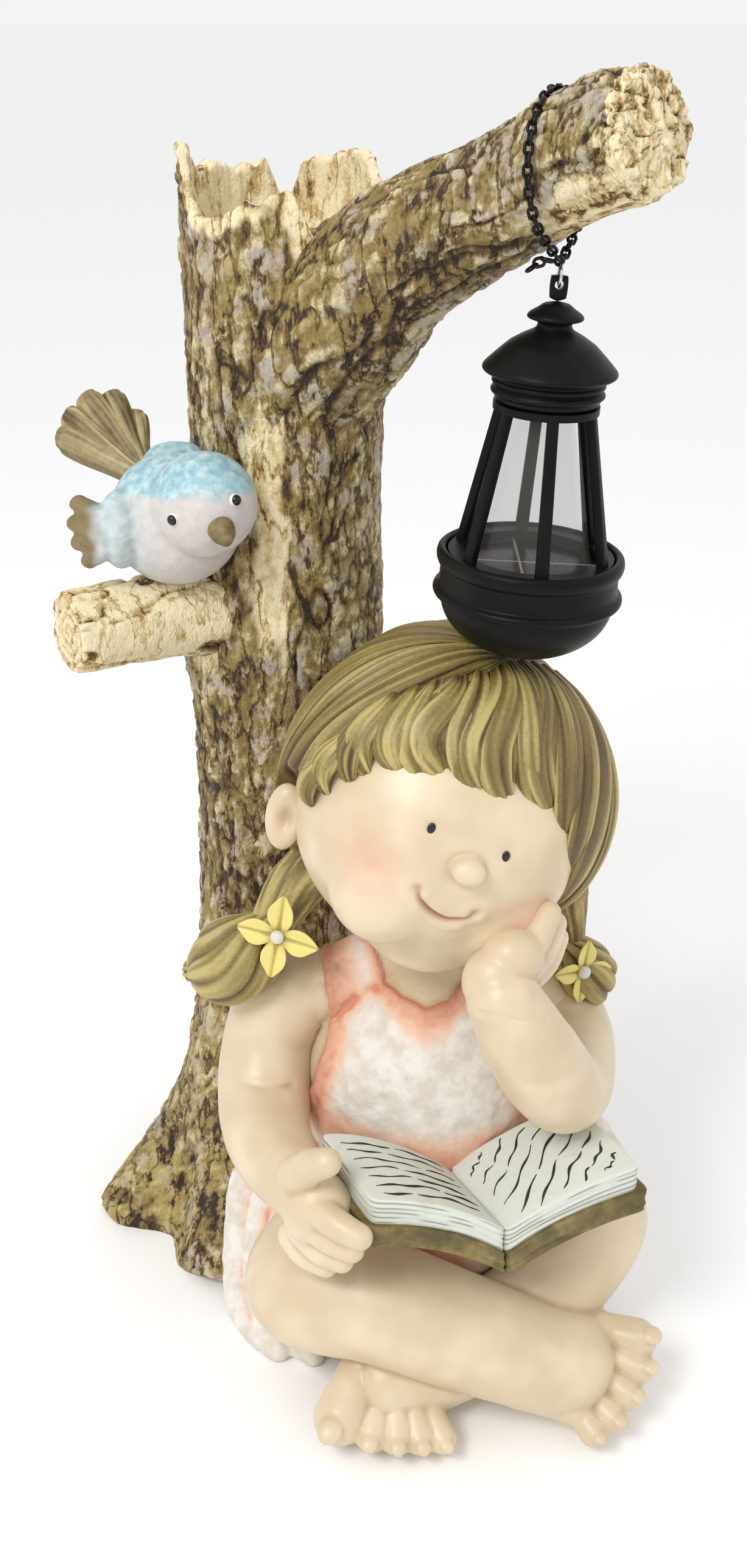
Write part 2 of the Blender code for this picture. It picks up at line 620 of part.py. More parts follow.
def make_base(finish):
    """The bowl with its bead, upright wall and rolled rim, and the recess that holds the panel."""
    bead = BASE_BEAD
    wall = LANTERN_RADIUS - bead
    bowl = wall - 0.0012
    inner = wall - WALL_THICKNESS
    profile = [(0.0, BASE_HEIGHT - RECESS_DEPTH), (inner, BASE_HEIGHT - RECESS_DEPTH), (inner, BASE_HEIGHT - 0.0008),
               (inner + 0.0006, BASE_HEIGHT)]
    profile += arc(wall - 0.0006, BASE_HEIGHT - 0.0020, 0.0016, 0.0020, 80, -90, 3)
    profile += [(wall - 0.0006, BASE_HEIGHT - 0.0062), (wall - 0.0002, BOWL_HEIGHT + bead)]
    profile += arc(wall, BOWL_HEIGHT, bead, bead, 60, -60, 2)
    profile += arc(0.0, BOWL_HEIGHT - bead, bowl, BOWL_HEIGHT - bead, 0, -90, 6)[:-1] + [(0.0, 0.0)]
    return turned("lantern_base", profile, BASE_SIDES, finish, parts)


def make_panel(finish):
    """The solar panel, a disc on the floor of the recess."""
    radius = seat_radius()
    floor = BASE_HEIGHT - RECESS_DEPTH + GAP
    profile = [(0.0, floor + PANEL_THICKNESS), (radius, floor + PANEL_THICKNESS), (radius, floor), (0.0, floor)]
    return turned("solar_panel", profile, BASE_SIDES, finish, parts)


def make_cage(finish):
    """The posts between a foot ring inside the rim and a ring under the roof, one moulding."""
    floor = BASE_HEIGHT - RECESS_DEPTH + PANEL_THICKNESS + 2 * GAP
    top = ROOF_BASE - GAP
    foot = post_foot_radius()
    head = post_top_radius()
    inner = foot - POST_DEPTH
    outer = seat_radius()
    ring = [(inner, floor + CAGE_RING_HEIGHT), (outer, floor + CAGE_RING_HEIGHT), (outer, floor), (inner, floor),
            (inner, floor + CAGE_RING_HEIGHT)]
    cage = applied(turned("lantern_cage", ring, BASE_SIDES, finish, parts))
    head_in = head - POST_DEPTH
    head_out = head + 0.9 * POST_DEPTH
    crown = [(head_in, top), (head_out, top), (head_out, top - CAGE_RING_HEIGHT), (head_in, top - CAGE_RING_HEIGHT),
             (head_in, top)]
    others = [applied(turned("crown", crown, ROOF_SIDES, finish, guides))]
    low = floor + 0.2 * CAGE_RING_HEIGHT
    high = top - 0.2 * CAGE_RING_HEIGHT
    for step in range(POST_COUNT):
        angle = POST_TURN + 2 * math.pi * step / POST_COUNT
        post = bmesh.new()
        bmesh.ops.create_cube(post, size=1.0)
        for vertex in post.verts:
            at_top = vertex.co.z > 0
            out = (head if at_top else foot) + vertex.co.x * POST_DEPTH
            wide = vertex.co.y * POST_WIDTH * (0.82 if at_top else 1.0)
            vertex.co = Vector((out, wide, high if at_top else low))
        bmesh.ops.rotate(post, verts=post.verts, cent=(0, 0, 0), matrix=Matrix.Rotation(angle, 3, "Z"))
        others.append(object_of(mesh_of(post, "post"), "post_%d" % step, guides))
    return joined(cage, others)


def make_panes(finish):
    """Clear flat panes behind the posts, one tapered tube with as many sides as there are posts."""
    floor = BASE_HEIGHT - RECESS_DEPTH + PANEL_THICKNESS + 2 * GAP
    foot = (post_foot_radius() - POST_DEPTH) * math.cos(math.pi / BASE_SIDES) - GAP
    head = (post_top_radius() - POST_DEPTH) * math.cos(math.pi / ROOF_SIDES) - GAP
    # The panes widen downwards, so they are narrower again to clear the crown's lower edge
    head -= (foot - head) * CAGE_RING_HEIGHT / CAGE_HEIGHT
    top = ROOF_BASE - 2 * GAP
    profile = [(head, top), (foot, floor), (foot - PANE_THICKNESS, floor), (head - PANE_THICKNESS, top), (head, top)]
    panes = turned("lantern_glass", profile, POST_COUNT, finish, parts)
    panes.modifiers["turned"].use_smooth_shade = False
    panes.rotation_euler.z = POST_TURN
    return panes


def make_roof(finish):
    """The roof with its ringed skirt, the hood over it and the tab that the wire ring passes through."""
    rim = ROOF_DIAMETER / 2
    skirt = CAGE_TOP_DIAMETER / 2 + 0.0005
    eaves = ROOF_BASE + ROOF_SKIRT_HEIGHT
    ridge = eaves + ROOF_HEIGHT
    hood = HOOD_DIAMETER / 2
    neck = 0.6 * hood
    profile = [(0.0, ridge + HOOD_HEIGHT), (0.45 * hood, ridge + HOOD_HEIGHT), (0.62 * hood, ridge + 0.72 * HOOD_HEIGHT)]
    profile += arc(hood - 0.0012, ridge + 0.42 * HOOD_HEIGHT, 0.0012, 0.0012, 60, -80, 3)
    profile += [(neck, ridge + 0.16 * HOOD_HEIGHT), (neck * 1.05, ridge)]
    for step in range(1, 5):
        share = step / 5
        bulge = 0.0022 * math.sin(math.pi * share)
        profile.append((neck + (rim - neck) * share + bulge, ridge - (ROOF_HEIGHT - 0.0022) * share + 0.4 * bulge))
    profile += arc(rim - 0.0012, eaves + 0.0012, 0.0012, 0.0012, 40, -90, 3)
    profile += [(skirt + 0.0005, eaves - 0.0012)]
    profile += arc(skirt + 0.0002, eaves - 0.55 * ROOF_SKIRT_HEIGHT, 0.0016, 0.0018, 70, -70, 3)
    profile += [(skirt, ROOF_BASE + 0.0008), (skirt - 0.0010, ROOF_BASE), (0.0, ROOF_BASE)]
    roof = applied(turned("lantern_roof", profile, ROOF_SIDES, finish, parts))
    tab = bmesh.new()
    height = TAB_HEIGHT + 0.0010
    middle = Matrix.Translation((0, 0, TAB_BASE + TAB_HEIGHT - height / 2))
    bmesh.ops.create_cube(tab, size=1.0, matrix=middle @ Matrix.Diagonal((TAB_WIDTH, TAB_THICKNESS, height, 1.0)))
    plate = object_of(mesh_of(tab, "tab"), "tab", guides)
    rounded = plate.modifiers.new("rounded", "BEVEL")
    rounded.width = 0.0007
    rounded.segments = 1
    roof = joined(roof, [applied(plate)])
    drill = bmesh.new()
    across = Matrix.Translation((0, 0, TAB_HOLE_Z)) @ Matrix.Rotation(math.pi / 2, 4, "X")
    bmesh.ops.create_cone(drill, cap_ends=True, segments=14, radius1=TAB_HOLE_DIAMETER / 2,
                          radius2=TAB_HOLE_DIAMETER / 2, depth=4 * TAB_THICKNESS, matrix=across)
    cutter = object_of(mesh_of(drill, "tab_drill"), "tab_drill", guides)
    cutter.hide_render = True
    cutter.display_type = "WIRE"
    hole = roof.modifiers.new("hole", "BOOLEAN")
    hole.operation = "DIFFERENCE"
    hole.object = cutter
    roof = applied(roof)
    bpy.data.objects.remove(cutter, do_unlink=True)
    return roof


def wire_loop(name, points, wire, home, resolution=0):
    """A closed wire through the points."""
    curve = bpy.data.curves.new(name, "CURVE")
    curve.dimensions = "3D"
    curve.bevel_depth = wire / 2
    curve.bevel_resolution = resolution
    line = curve.splines.new("POLY")
    line.use_cyclic_u = True
    line.points.add(len(points) - 1)
    for point, place in zip(line.points, points):
        point.co = (*place, 1.0)
    return object_of(curve, name, home)


def make_ring(finish):
    """The wire ring in the tab's hole, standing across the tab."""
    points = []
    for step in range(12):
        angle = 2 * math.pi * step / 12
        points.append((0.0, 0.5 * RING_DIAMETER * math.cos(angle), RING_Z + 0.5 * RING_DIAMETER * math.sin(angle)))
    ring = wire_loop("hanging_ring", points, RING_WIRE, parts, 1)
    ring.data.materials.append(finish)
    return ring


def hull_over(points):
    """The taut line over points in a plane, as their convex outline."""
    points = sorted(set(points))
    halves = []
    for row in (points, points[::-1]):
        found = []
        for p in row:
            while len(found) > 1 and ((found[-1][0] - found[-2][0]) * (p[1] - found[-2][1])
                                      - (found[-1][1] - found[-2][1]) * (p[0] - found[-2][0])) <= 0:
                found.pop()
            found.append(p)
        halves.append(found[:-1])
    return halves[0] + halves[1]


def chain_up():
    """The way up in the plane of the chain's loop."""
    return Vector((-math.sin(CHAIN_TURN) * CHAIN_SLANT, math.cos(CHAIN_TURN) * CHAIN_SLANT, 1.0)).normalized()


def end_link_rise():
    """How far over the ring's top wire the end link's middle is, with the wire free in its lower end."""
    return 0.5 * (LINK_LENGTH - LINK_WIRE) - 0.5 * RING_WIRE - GAP - 0.5 * LINK_WIRE


def chain_path(casting):
    """The loop's middle line: from the end link up over the branch and back, pulled taut round it."""
    tree = BVHTree.FromObject(casting, bpy.context.evaluated_depsgraph_get())
    across = Vector((math.cos(CHAIN_TURN), math.sin(CHAIN_TURN), 0.0))
    up = chain_up()
    rise = BRANCH_Z - HANG.z
    middle = HANG + up * rise
    room = 0.36 * (LINK_WIDTH - LINK_WIRE) + 0.5 * LINK_WIRE + 2 * GAP
    flat = [(0.0, -rise + end_link_rise() + 0.5 * LINK_LENGTH - LINK_WIRE + 0.5 * LINK_TOUCH)]
    for step in range(48):
        angle = 2 * math.pi * step / 48
        way = across * math.cos(angle) + up * math.sin(angle)
        hit = tree.ray_cast(middle + way * 2 * BRANCH_DIAMETER, -way, 2 * BRANCH_DIAMETER)[0]
        if hit is not None:
            out = (hit - middle).length + room
            flat.append((out * math.cos(angle), out * math.sin(angle)))
    outline = hull_over(flat)
    low = outline.index(min(outline, key=lambda p: p[1]))
    outline = outline[low:] + outline[:low + 1]
    return [middle + across * a + up * b for a, b in outline]


def along(path, distance):
    """The point and direction at a distance along a path."""
    for a, b in zip(path, path[1:]):
        length = (b - a).length
        if distance <= length:
            return a.lerp(b, distance / length), (b - a).normalized()
        distance -= length
    return path[-1], (path[-1] - path[-2]).normalized()


def link_points(middle, way, side, count=6):
    """A link's middle line: a slot shape along way, lying in the plane of way and side."""
    half = 0.5 * (LINK_LENGTH - LINK_WIDTH)
    wide = 0.5 * (LINK_WIDTH - LINK_WIRE)
    points = []
    for step in range(count):
        angle = 2 * math.pi * step / count
        points.append(middle + way * (math.copysign(half, math.cos(angle)) + wide * math.cos(angle))
                      + side * wide * math.sin(angle))
    return points


def largest_shell(obj):
    """The object's biggest shell alone, without the tiny pockets left where two wires cross."""
    body = bmesh.new()
    body.from_mesh(obj.data)
    left = set(body.faces)
    shells = []
    while left:
        shell = {left.pop()}
        front = list(shell)
        while front:
            for edge in front.pop().edges:
                for face in edge.link_faces:
                    if face in left:
                        left.remove(face)
                        shell.add(face)
                        front.append(face)
        shells.append(shell)
    keep = max(shells, key=len)
    bmesh.ops.delete(body, geom=[face for face in body.faces if face not in keep], context="FACES")
    body.to_mesh(obj.data)
    body.free()
    return obj


def make_chain(casting, finish):
    """A loop of links over the branch, the end link that joins it to the wire ring, and a short tail."""
    path = chain_path(casting)
    total = sum((b - a).length for a, b in zip(path, path[1:]))
    pitch = LINK_LENGTH - 2 * LINK_WIRE + LINK_TOUCH
    count = math.ceil(total / pitch)
    plane = Vector((-math.sin(CHAIN_TURN), math.cos(CHAIN_TURN), 0.0))
    links = []
    for step in range(count):
        middle, way = along(path, total * (step + 0.5) / count)
        side = Matrix.Rotation(math.radians(45 if step % 2 else -45), 3, way) @ plane
        links.append(link_points(middle, way, side))
    # The end link stands square to the ring's wire, and the tail leaves its left side
    up = chain_up()
    right = Vector((0, 1, 0)).cross(up).normalized()
    middle = HANG + up * end_link_rise()
    links.append(link_points(middle, up, right))
    place = middle - right * 0.5 * (LINK_WIDTH - LINK_WIRE)
    for step in range(TAIL_LINKS):
        way = Vector((-0.85, -0.25, -0.30 - 0.35 * step)).normalized()
        place = place + way * (0.5 * (LINK_LENGTH - LINK_WIRE) if step == 0 else pitch)
        side = Matrix.Rotation(math.radians(45 if step % 2 else -45), 3, way) @ way.orthogonal().normalized()
        links.append(link_points(place, way, side))
    meshes = []
    for number, points in enumerate(links):
        home = parts if number == 0 else guides
        name = "chain" if number == 0 else "link_%d" % number
        meshes.append(applied(wire_loop(name, points, LINK_WIRE, home)))
    chain = largest_shell(joined(meshes[0], meshes[1:]))
    chain.name = "chain"
    chain.data.materials.append(finish)
    return chain


clear_scene()
parts = collection("reading_girl")
guides = collection("cutters_and_guides")
guides.hide_render = True

casting = make_casting()
black = material("satin_black", (0.012, 0.014, 0.014), 0.38)
hang = object_of(None, "lantern_hang", parts)
hang.location = (HANG.x, HANG.y, LANTERN_BOTTOM + RING_Z + RING_DIAMETER / 2)
hang.rotation_euler.y = LANTERN_LEAN
lantern = [
    make_base(black),
    make_panel(material("solar_cell", (0.030, 0.022, 0.030), 0.25)),
    make_cage(black),
    make_panes(material("clear_pane", (0.92, 0.93, 0.92), 0.06, alpha=0.3)),
    make_roof(black),
    make_ring(material("steel_wire", (0.62, 0.62, 0.62), 0.28, metallic=1.0)),
]
for piece in lantern:
    piece.parent = hang
    piece.location.z = -(RING_Z + RING_DIAMETER / 2)
make_chain(casting, material("chain_black", (0.014, 0.013, 0.012), 0.42, metallic=0.6))
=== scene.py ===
# Girl reading under a cut tree, with a bird and a solar lantern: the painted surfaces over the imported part.
# Sizes are millimetres until a mesh is made. The front is -Y and up is +Z.
import math
import bmesh
import bpy
import numpy as np
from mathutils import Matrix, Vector


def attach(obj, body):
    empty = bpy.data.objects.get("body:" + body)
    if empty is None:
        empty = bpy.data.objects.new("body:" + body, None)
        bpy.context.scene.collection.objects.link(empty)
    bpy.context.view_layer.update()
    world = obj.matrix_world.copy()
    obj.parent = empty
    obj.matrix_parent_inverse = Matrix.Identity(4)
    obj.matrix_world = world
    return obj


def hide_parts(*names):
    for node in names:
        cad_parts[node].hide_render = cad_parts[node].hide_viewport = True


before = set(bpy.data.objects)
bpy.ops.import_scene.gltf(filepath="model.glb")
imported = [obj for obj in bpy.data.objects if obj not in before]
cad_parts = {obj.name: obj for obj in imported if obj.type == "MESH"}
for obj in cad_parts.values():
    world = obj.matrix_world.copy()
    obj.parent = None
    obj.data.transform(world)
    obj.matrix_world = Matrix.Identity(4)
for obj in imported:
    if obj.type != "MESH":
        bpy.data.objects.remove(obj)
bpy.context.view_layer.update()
print("frame loaded:", len(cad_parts), "solids")


# Numbers over whole arrays

def unit(v):
    return v / np.maximum(np.linalg.norm(v, axis=-1, keepdims=True), 1e-9)


def turns(count):       # angles round a circle
    return np.linspace(0, 2 * math.pi, count, endpoint=False)


def ease(x, low, high):     # 0 below low, 1 above high, a smooth step between them
    t = np.clip((x - low) / (high - low), 0.0, 1.0)
    return t * t * (3.0 - 2.0 * t)


def hump(x, width):     # a bell of height 1
    return np.exp(-(x / width) ** 2)


def grow(*numbers):     # several arrays side by side as points
    return np.stack(np.broadcast_arrays(*numbers), -1)


def scatter(cell, seed):    # a fixed scatter of whole-number cells over 0 to 1
    n = cell.astype(np.int64)
    h = (n[..., 0] * 73856093) ^ (n[..., 1] * 19349663) ^ (n[..., 2] * 83492791) ^ (seed * 2654435)
    h = (h ^ (h >> 13)) * 1274126177 & 0xffffffff
    h = (h ^ (h >> 16)) * 668265263 & 0xffffffff
    return (h ^ (h >> 15)) / 4294967295.0


def noise(points, size, seed=0):
    # Smooth noise from -1 to 1: corner values of a lattice, blended by an eased weight
    p = points / size
    base = np.floor(p)
    f = p - base
    f = f * f * (3.0 - 2.0 * f)
    total = 0.0
    for corner in range(8):
        step = np.array([corner & 1, corner >> 1 & 1, corner >> 2])
        total = total + np.prod(np.where(step, f, 1.0 - f), axis=-1) * scatter(base + step, seed)
    return 2.0 * total - 1.0


def layers(points, size, seed=0, count=3):      # noise, and finer noise on it at half the strength each time
    return sum(noise(points, size / 2 ** k, seed + 5 * k) / 2 ** k for k in range(count))


def plates(points, size, seed=0):
    # Cells round scattered middles: depth inside a cell, 0 on its edge, and the cell's own number
    p = points / size
    base = np.floor(p)
    first = np.full(p.shape[:-1], 9.0)
    second = first.copy()
    own = np.zeros_like(first)
    for n in range(27):
        cell = base + np.array([n % 3 - 1, n // 3 % 3 - 1, n // 9 - 1])
        middle = cell + grow(*(0.1 + 0.8 * scatter(cell, seed + k) for k in range(3)))
        away = np.linalg.norm(middle - p, axis=-1)
        near = away < first
        second = np.where(near, first, np.minimum(second, away))
        own = np.where(near, scatter(cell, seed + 9), own)
        first = np.where(near, away, first)
    return second - first, own


def turned(axis, degrees):      # rotation about X, Y or Z
    c, s = math.cos(math.radians(degrees)), math.sin(math.radians(degrees))
    return np.array({"X": [[1, 0, 0], [0, c, -s], [0, s, c]], "Y": [[c, 0, s], [0, 1, 0], [-s, 0, c]],
                     "Z": [[c, -s, 0], [s, c, 0], [0, 0, 1]]}[axis])


def toLine(points, line):
    # Least distance from each point to a line of straight steps, and how far along it
    best, where = np.full(points.shape[:-1], 1e9), np.zeros(points.shape[:-1])
    for k, (a, b) in enumerate(zip(line[:-1], line[1:])):
        way = b - a
        t = np.clip(((points - a) @ way) / (way @ way), 0.0, 1.0)
        away = np.linalg.norm(points - a - t[..., None] * way, axis=-1)
        where = np.where(away < best, (k + t) / (len(line) - 1), where)
        best = np.minimum(best, away)
    return best, where


# Shells: a grid of rings, closed round each ring and fanned to one point at both ends

def through(rows, count):
    # A smooth line through rows of numbers: a cubic over each four neighbours
    rows = np.asarray(rows, float)
    rows = np.vstack([2 * rows[0] - rows[1], rows, 2 * rows[-1] - rows[-2]])
    place = np.linspace(0, len(rows) - 3 - 1e-9, count)
    k = place.astype(int)
    t = (place - k)[:, None]
    a, b, c, d = rows[k], rows[k + 1], rows[k + 2], rows[k + 3]
    slope, bend, twist = c - a, 2 * a - 5 * b + 4 * c - d, 3 * b - a - 3 * c + d
    return 0.5 * (2 * b + slope * t + bend * t * t + twist * t ** 3)


def tube(rows, count=40, around=32, flat=1.0, side=(0, 0, 1), cap=7):
    # Rings square to a line of (x, y, z, radius), with round caps at both ends:
    # centre + radius * (cos a * side + flat * sin a * up)
    line = through(rows, count)
    centre, radius = line[:, :3], line[:, 3]
    along = unit(np.gradient(centre, axis=0))
    sides = [unit(np.cross(along[0], side))]
    for way in along[1:]:
        sides.append(unit(sides[-1] - way * (sides[-1] @ way)))
    sides = np.array(sides)
    bend = np.linspace(math.pi / 2 * 0.93, 0, cap, endpoint=False)
    shift, shrink = radius[0] * np.sin(bend), np.cos(bend)
    lead = centre[0] - along[0] * shift[:, None] * min(flat, 1.0)
    tail = centre[-1] + along[-1] * (radius[-1] * np.sin(bend[::-1]))[:, None] * min(flat, 1.0)
    centre = np.vstack([lead, centre, tail])
    radius = np.concatenate([radius[0] * shrink, radius, radius[-1] * shrink[::-1]])
    along = np.vstack([np.repeat(along[:1], cap, 0), along, np.repeat(along[-1:], cap, 0)])
    sides = np.vstack([np.repeat(sides[:1], cap, 0), sides, np.repeat(sides[-1:], cap, 0)])
    a = turns(around)[None, :, None]
    out = np.cos(a) * sides[:, None] + flat * np.sin(a) * np.cross(along, sides)[:, None]
    s = np.concatenate([np.zeros(cap), np.linspace(0, 1, count), np.ones(cap)])[:, None] + 0 * a[..., 0]
    return centre[:, None] + radius[:, None, None] * out, unit(out), s


def egg(centre, radii, pose=np.eye(3), rows=25, around=36):
    # Latitude and longitude on a ball with three radii
    v = np.linspace(0.02, math.pi - 0.02, rows)[:, None]
    u = turns(around)
    ball = grow(np.sin(v) * np.cos(u), np.sin(v) * np.sin(u), -np.cos(v))
    return np.asarray(centre) + (ball * np.asarray(radii)) @ pose.T


def lathe(profile, around=96, smooth=2):        # a profile of (radius, height) spun round the upright axis
    profile = np.asarray(profile, float)
    for _ in range(smooth):     # each corner is cut at a short fixed distance, so it comes out rounded
        way = profile[1:] - profile[:-1]
        length = np.linalg.norm(way, axis=1, keepdims=True)
        cut = np.minimum(0.25 * length, 0.35) / np.maximum(length, 1e-9)
        profile = np.vstack([profile[:1], np.stack([profile[:-1] + way * cut, profile[1:] - way * cut],
                1).reshape(-1, 2), profile[-1:]])
    u = turns(around)
    r = np.maximum(profile[:, :1], 0.01)
    return grow(r * np.cos(u), r * np.sin(u), profile[:, 1:] + 0 * u)


def loop(line, normal, wire, around=10):
    # A closed wire: rings round a closed flat line, the last joined to the first
    line = np.asarray(line, float)
    along = unit(np.roll(line, -1, 0) - np.roll(line, 1, 0))
    side = unit(np.cross(along, normal))
    a = turns(around)[None, :, None]
    up = unit(np.cross(side, along))
    return line[:, None] + wire / 2 * (np.cos(a) * side[:, None] + np.sin(a) * up[:, None])


def shellFaces(rows, around, ring=False):       # quads between rings, and a fan at each end
    index = np.arange(rows * around).reshape(rows, around)
    right = np.roll(index, -1, axis=1)
    if ring:
        after, afterRight = np.roll(index, -1, axis=0), np.roll(right, -1, axis=0)
        return np.stack([index, right, afterRight, after], -1).reshape(-1, 4), np.zeros((0, 3), int)
    quads = np.stack([index[:-1], right[:-1], right[1:], index[1:]], -1).reshape(-1, 4)
    start, end = rows * around, rows * around + 1
    fans = np.vstack([np.stack([np.full(around, start), right[0], index[0]], -1),
                      np.stack([np.full(around, end), index[-1], right[-1]], -1)])
    return quads, fans


# Shells in millimetres to one mesh in metres, each with its faces turned outwards by the sign of its volume
def meshOf(name, shells, marks=None, ring=False, weld=False, sharp=None):
    points, quads, fans, start = [], [], [], 0
    values = {mark: [] for mark in marks or {}}
    for k, shell in enumerate(shells):
        rows, around = shell.shape[:2]
        flat = shell.reshape(-1, 3)
        if not ring:
            flat = np.vstack([flat, shell[0].mean(0), shell[-1].mean(0)])
        four, three = shellFaces(rows, around, ring)
        a, b, c, d = (flat[four[:, n]] for n in range(4))
        middle = flat.mean(0)
        if np.einsum("ij,ij->", np.cross(c - a, d - b), a + b + c + d - 4 * middle) < 0:
            four, three = four[:, ::-1], three[:, ::-1]
        points.append(flat)
        quads.append(four + start)
        fans.append(three + start)
        for mark in values:
            value = np.broadcast_to(np.asarray(marks[mark][k], float), (rows, around))
            value = value.reshape(-1) if ring else np.concatenate([value.reshape(-1),
                    [value[0].mean(), value[-1].mean()]])
            values[mark].append(value)
        start += len(flat)
    points, quads, fans = np.vstack(points) / 1000, np.vstack(quads), np.vstack(fans)
    mesh = bpy.data.meshes.new(name)
    mesh.vertices.add(len(points))
    mesh.vertices.foreach_set("co", points.ravel().astype(np.float32))
    mesh.loops.add(quads.size + fans.size)
    mesh.loops.foreach_set("vertex_index", np.concatenate([quads.ravel(), fans.ravel()]).astype(np.int32))
    mesh.polygons.add(len(quads) + len(fans))
    starts = np.concatenate([np.arange(len(quads)) * 4, quads.size + np.arange(len(fans)) * 3])
    mesh.polygons.foreach_set("loop_start", starts.astype(np.int32))
    for mark, value in values.items():
        mesh.attributes.new(mark, "FLOAT", "POINT").data.foreach_set("value",
                np.concatenate(value).astype(np.float32))
    mesh.update(calc_edges=True)
    mesh.validate()
    if weld:
        body = bmesh.new()
        body.from_mesh(mesh)
        bmesh.ops.remove_doubles(body, verts=body.verts, dist=2e-6)
        bmesh.ops.recalc_face_normals(body, faces=body.faces)
        body.to_mesh(mesh)
        body.free()
    mesh.shade_smooth()
    if sharp:
        mesh.set_sharp_from_angle(angle=math.radians(sharp))
    made = bpy.data.objects.new(name, mesh)
    bpy.context.scene.collection.objects.link(made)
    return made


def melted(name, shells, voxel, soften):        # one skin over closed shells that pass through each other
    clay = meshOf(name + "Clay", shells)
    skin = clay.modifiers.new("skin", "REMESH")
    skin.mode = "VOXEL"
    skin.voxel_size = voxel / 1000
    soft = clay.modifiers.new("soft", "SMOOTH")
    soft.factor = 0.5
    soft.iterations = soften
    graph = bpy.context.evaluated_depsgraph_get()
    mesh = bpy.data.meshes.new_from_object(clay.evaluated_get(graph), depsgraph=graph)
    bpy.data.objects.remove(clay, do_unlink=True)
    mesh.name = name
    mesh.shade_smooth()
    made = bpy.data.objects.new(name, mesh)
    bpy.context.scene.collection.objects.link(made)
    return made


def readPoints(obj):        # places in millimetres, and normals
    places = np.zeros(len(obj.data.vertices) * 3, np.float32)
    normals = places.copy()
    obj.data.vertices.foreach_get("co", places)
    obj.data.vertex_normals.foreach_get("vector", normals)
    return places.reshape(-1, 3).astype(float) * 1000, normals.reshape(-1, 3).astype(float)


def writePoints(obj, places):
    obj.data.vertices.foreach_set("co", (places / 1000).ravel().astype(np.float32))
    obj.data.update()


def writeMark(obj, name, values):
    obj.data.attributes.new(name, "FLOAT", "POINT").data.foreach_set("value", np.asarray(values, np.float32))


def creases(obj, spread):
    # How deep each point lies under the mean of its neighbours, spread over the surface
    places, normals = readPoints(obj)
    ends = np.zeros(len(obj.data.edges) * 2, np.int32)
    obj.data.edges.foreach_get("vertices", ends)
    a, b = ends.reshape(-1, 2).T
    count = np.maximum(np.bincount(a, minlength=len(places)) + np.bincount(b, minlength=len(places)), 1)

    def nearMean(values):
        return (np.bincount(a, values[b], len(places)) + np.bincount(b, values[a], len(places))) / count
    smooth = places.copy()
    for _ in range(spread):
        smooth = np.stack([nearMean(smooth[:, n]) for n in range(3)], -1)
    value = ((smooth - places) * normals).sum(-1)
    for _ in range(3):
        value = nearMean(value)
    return value


# Paint: sockets with arithmetic, and one method that makes any node

class Wire:
    def __init__(self, paint, socket):
        self.paint, self.socket = paint, socket

    def sum(self, kind, a, b):
        return self.paint.node("ShaderNodeMath", {"operation": kind}, {0: a, 1: b})

    def __add__(self, other):
        return self.sum("ADD", self, other)

    def __sub__(self, other):
        return self.sum("SUBTRACT", self, other)

    def __rsub__(self, other):
        return self.sum("SUBTRACT", other, self)

    def __mul__(self, other):
        return self.sum("MULTIPLY", self, other)

    __radd__, __rmul__ = __add__, __mul__

    def band(self, low, high):      # 0 to 1 as the value goes from low to high
        return self.paint.node("ShaderNodeMapRange", {"interpolation_type": "SMOOTHSTEP"},
                {0: self, 1: low, 2: high})


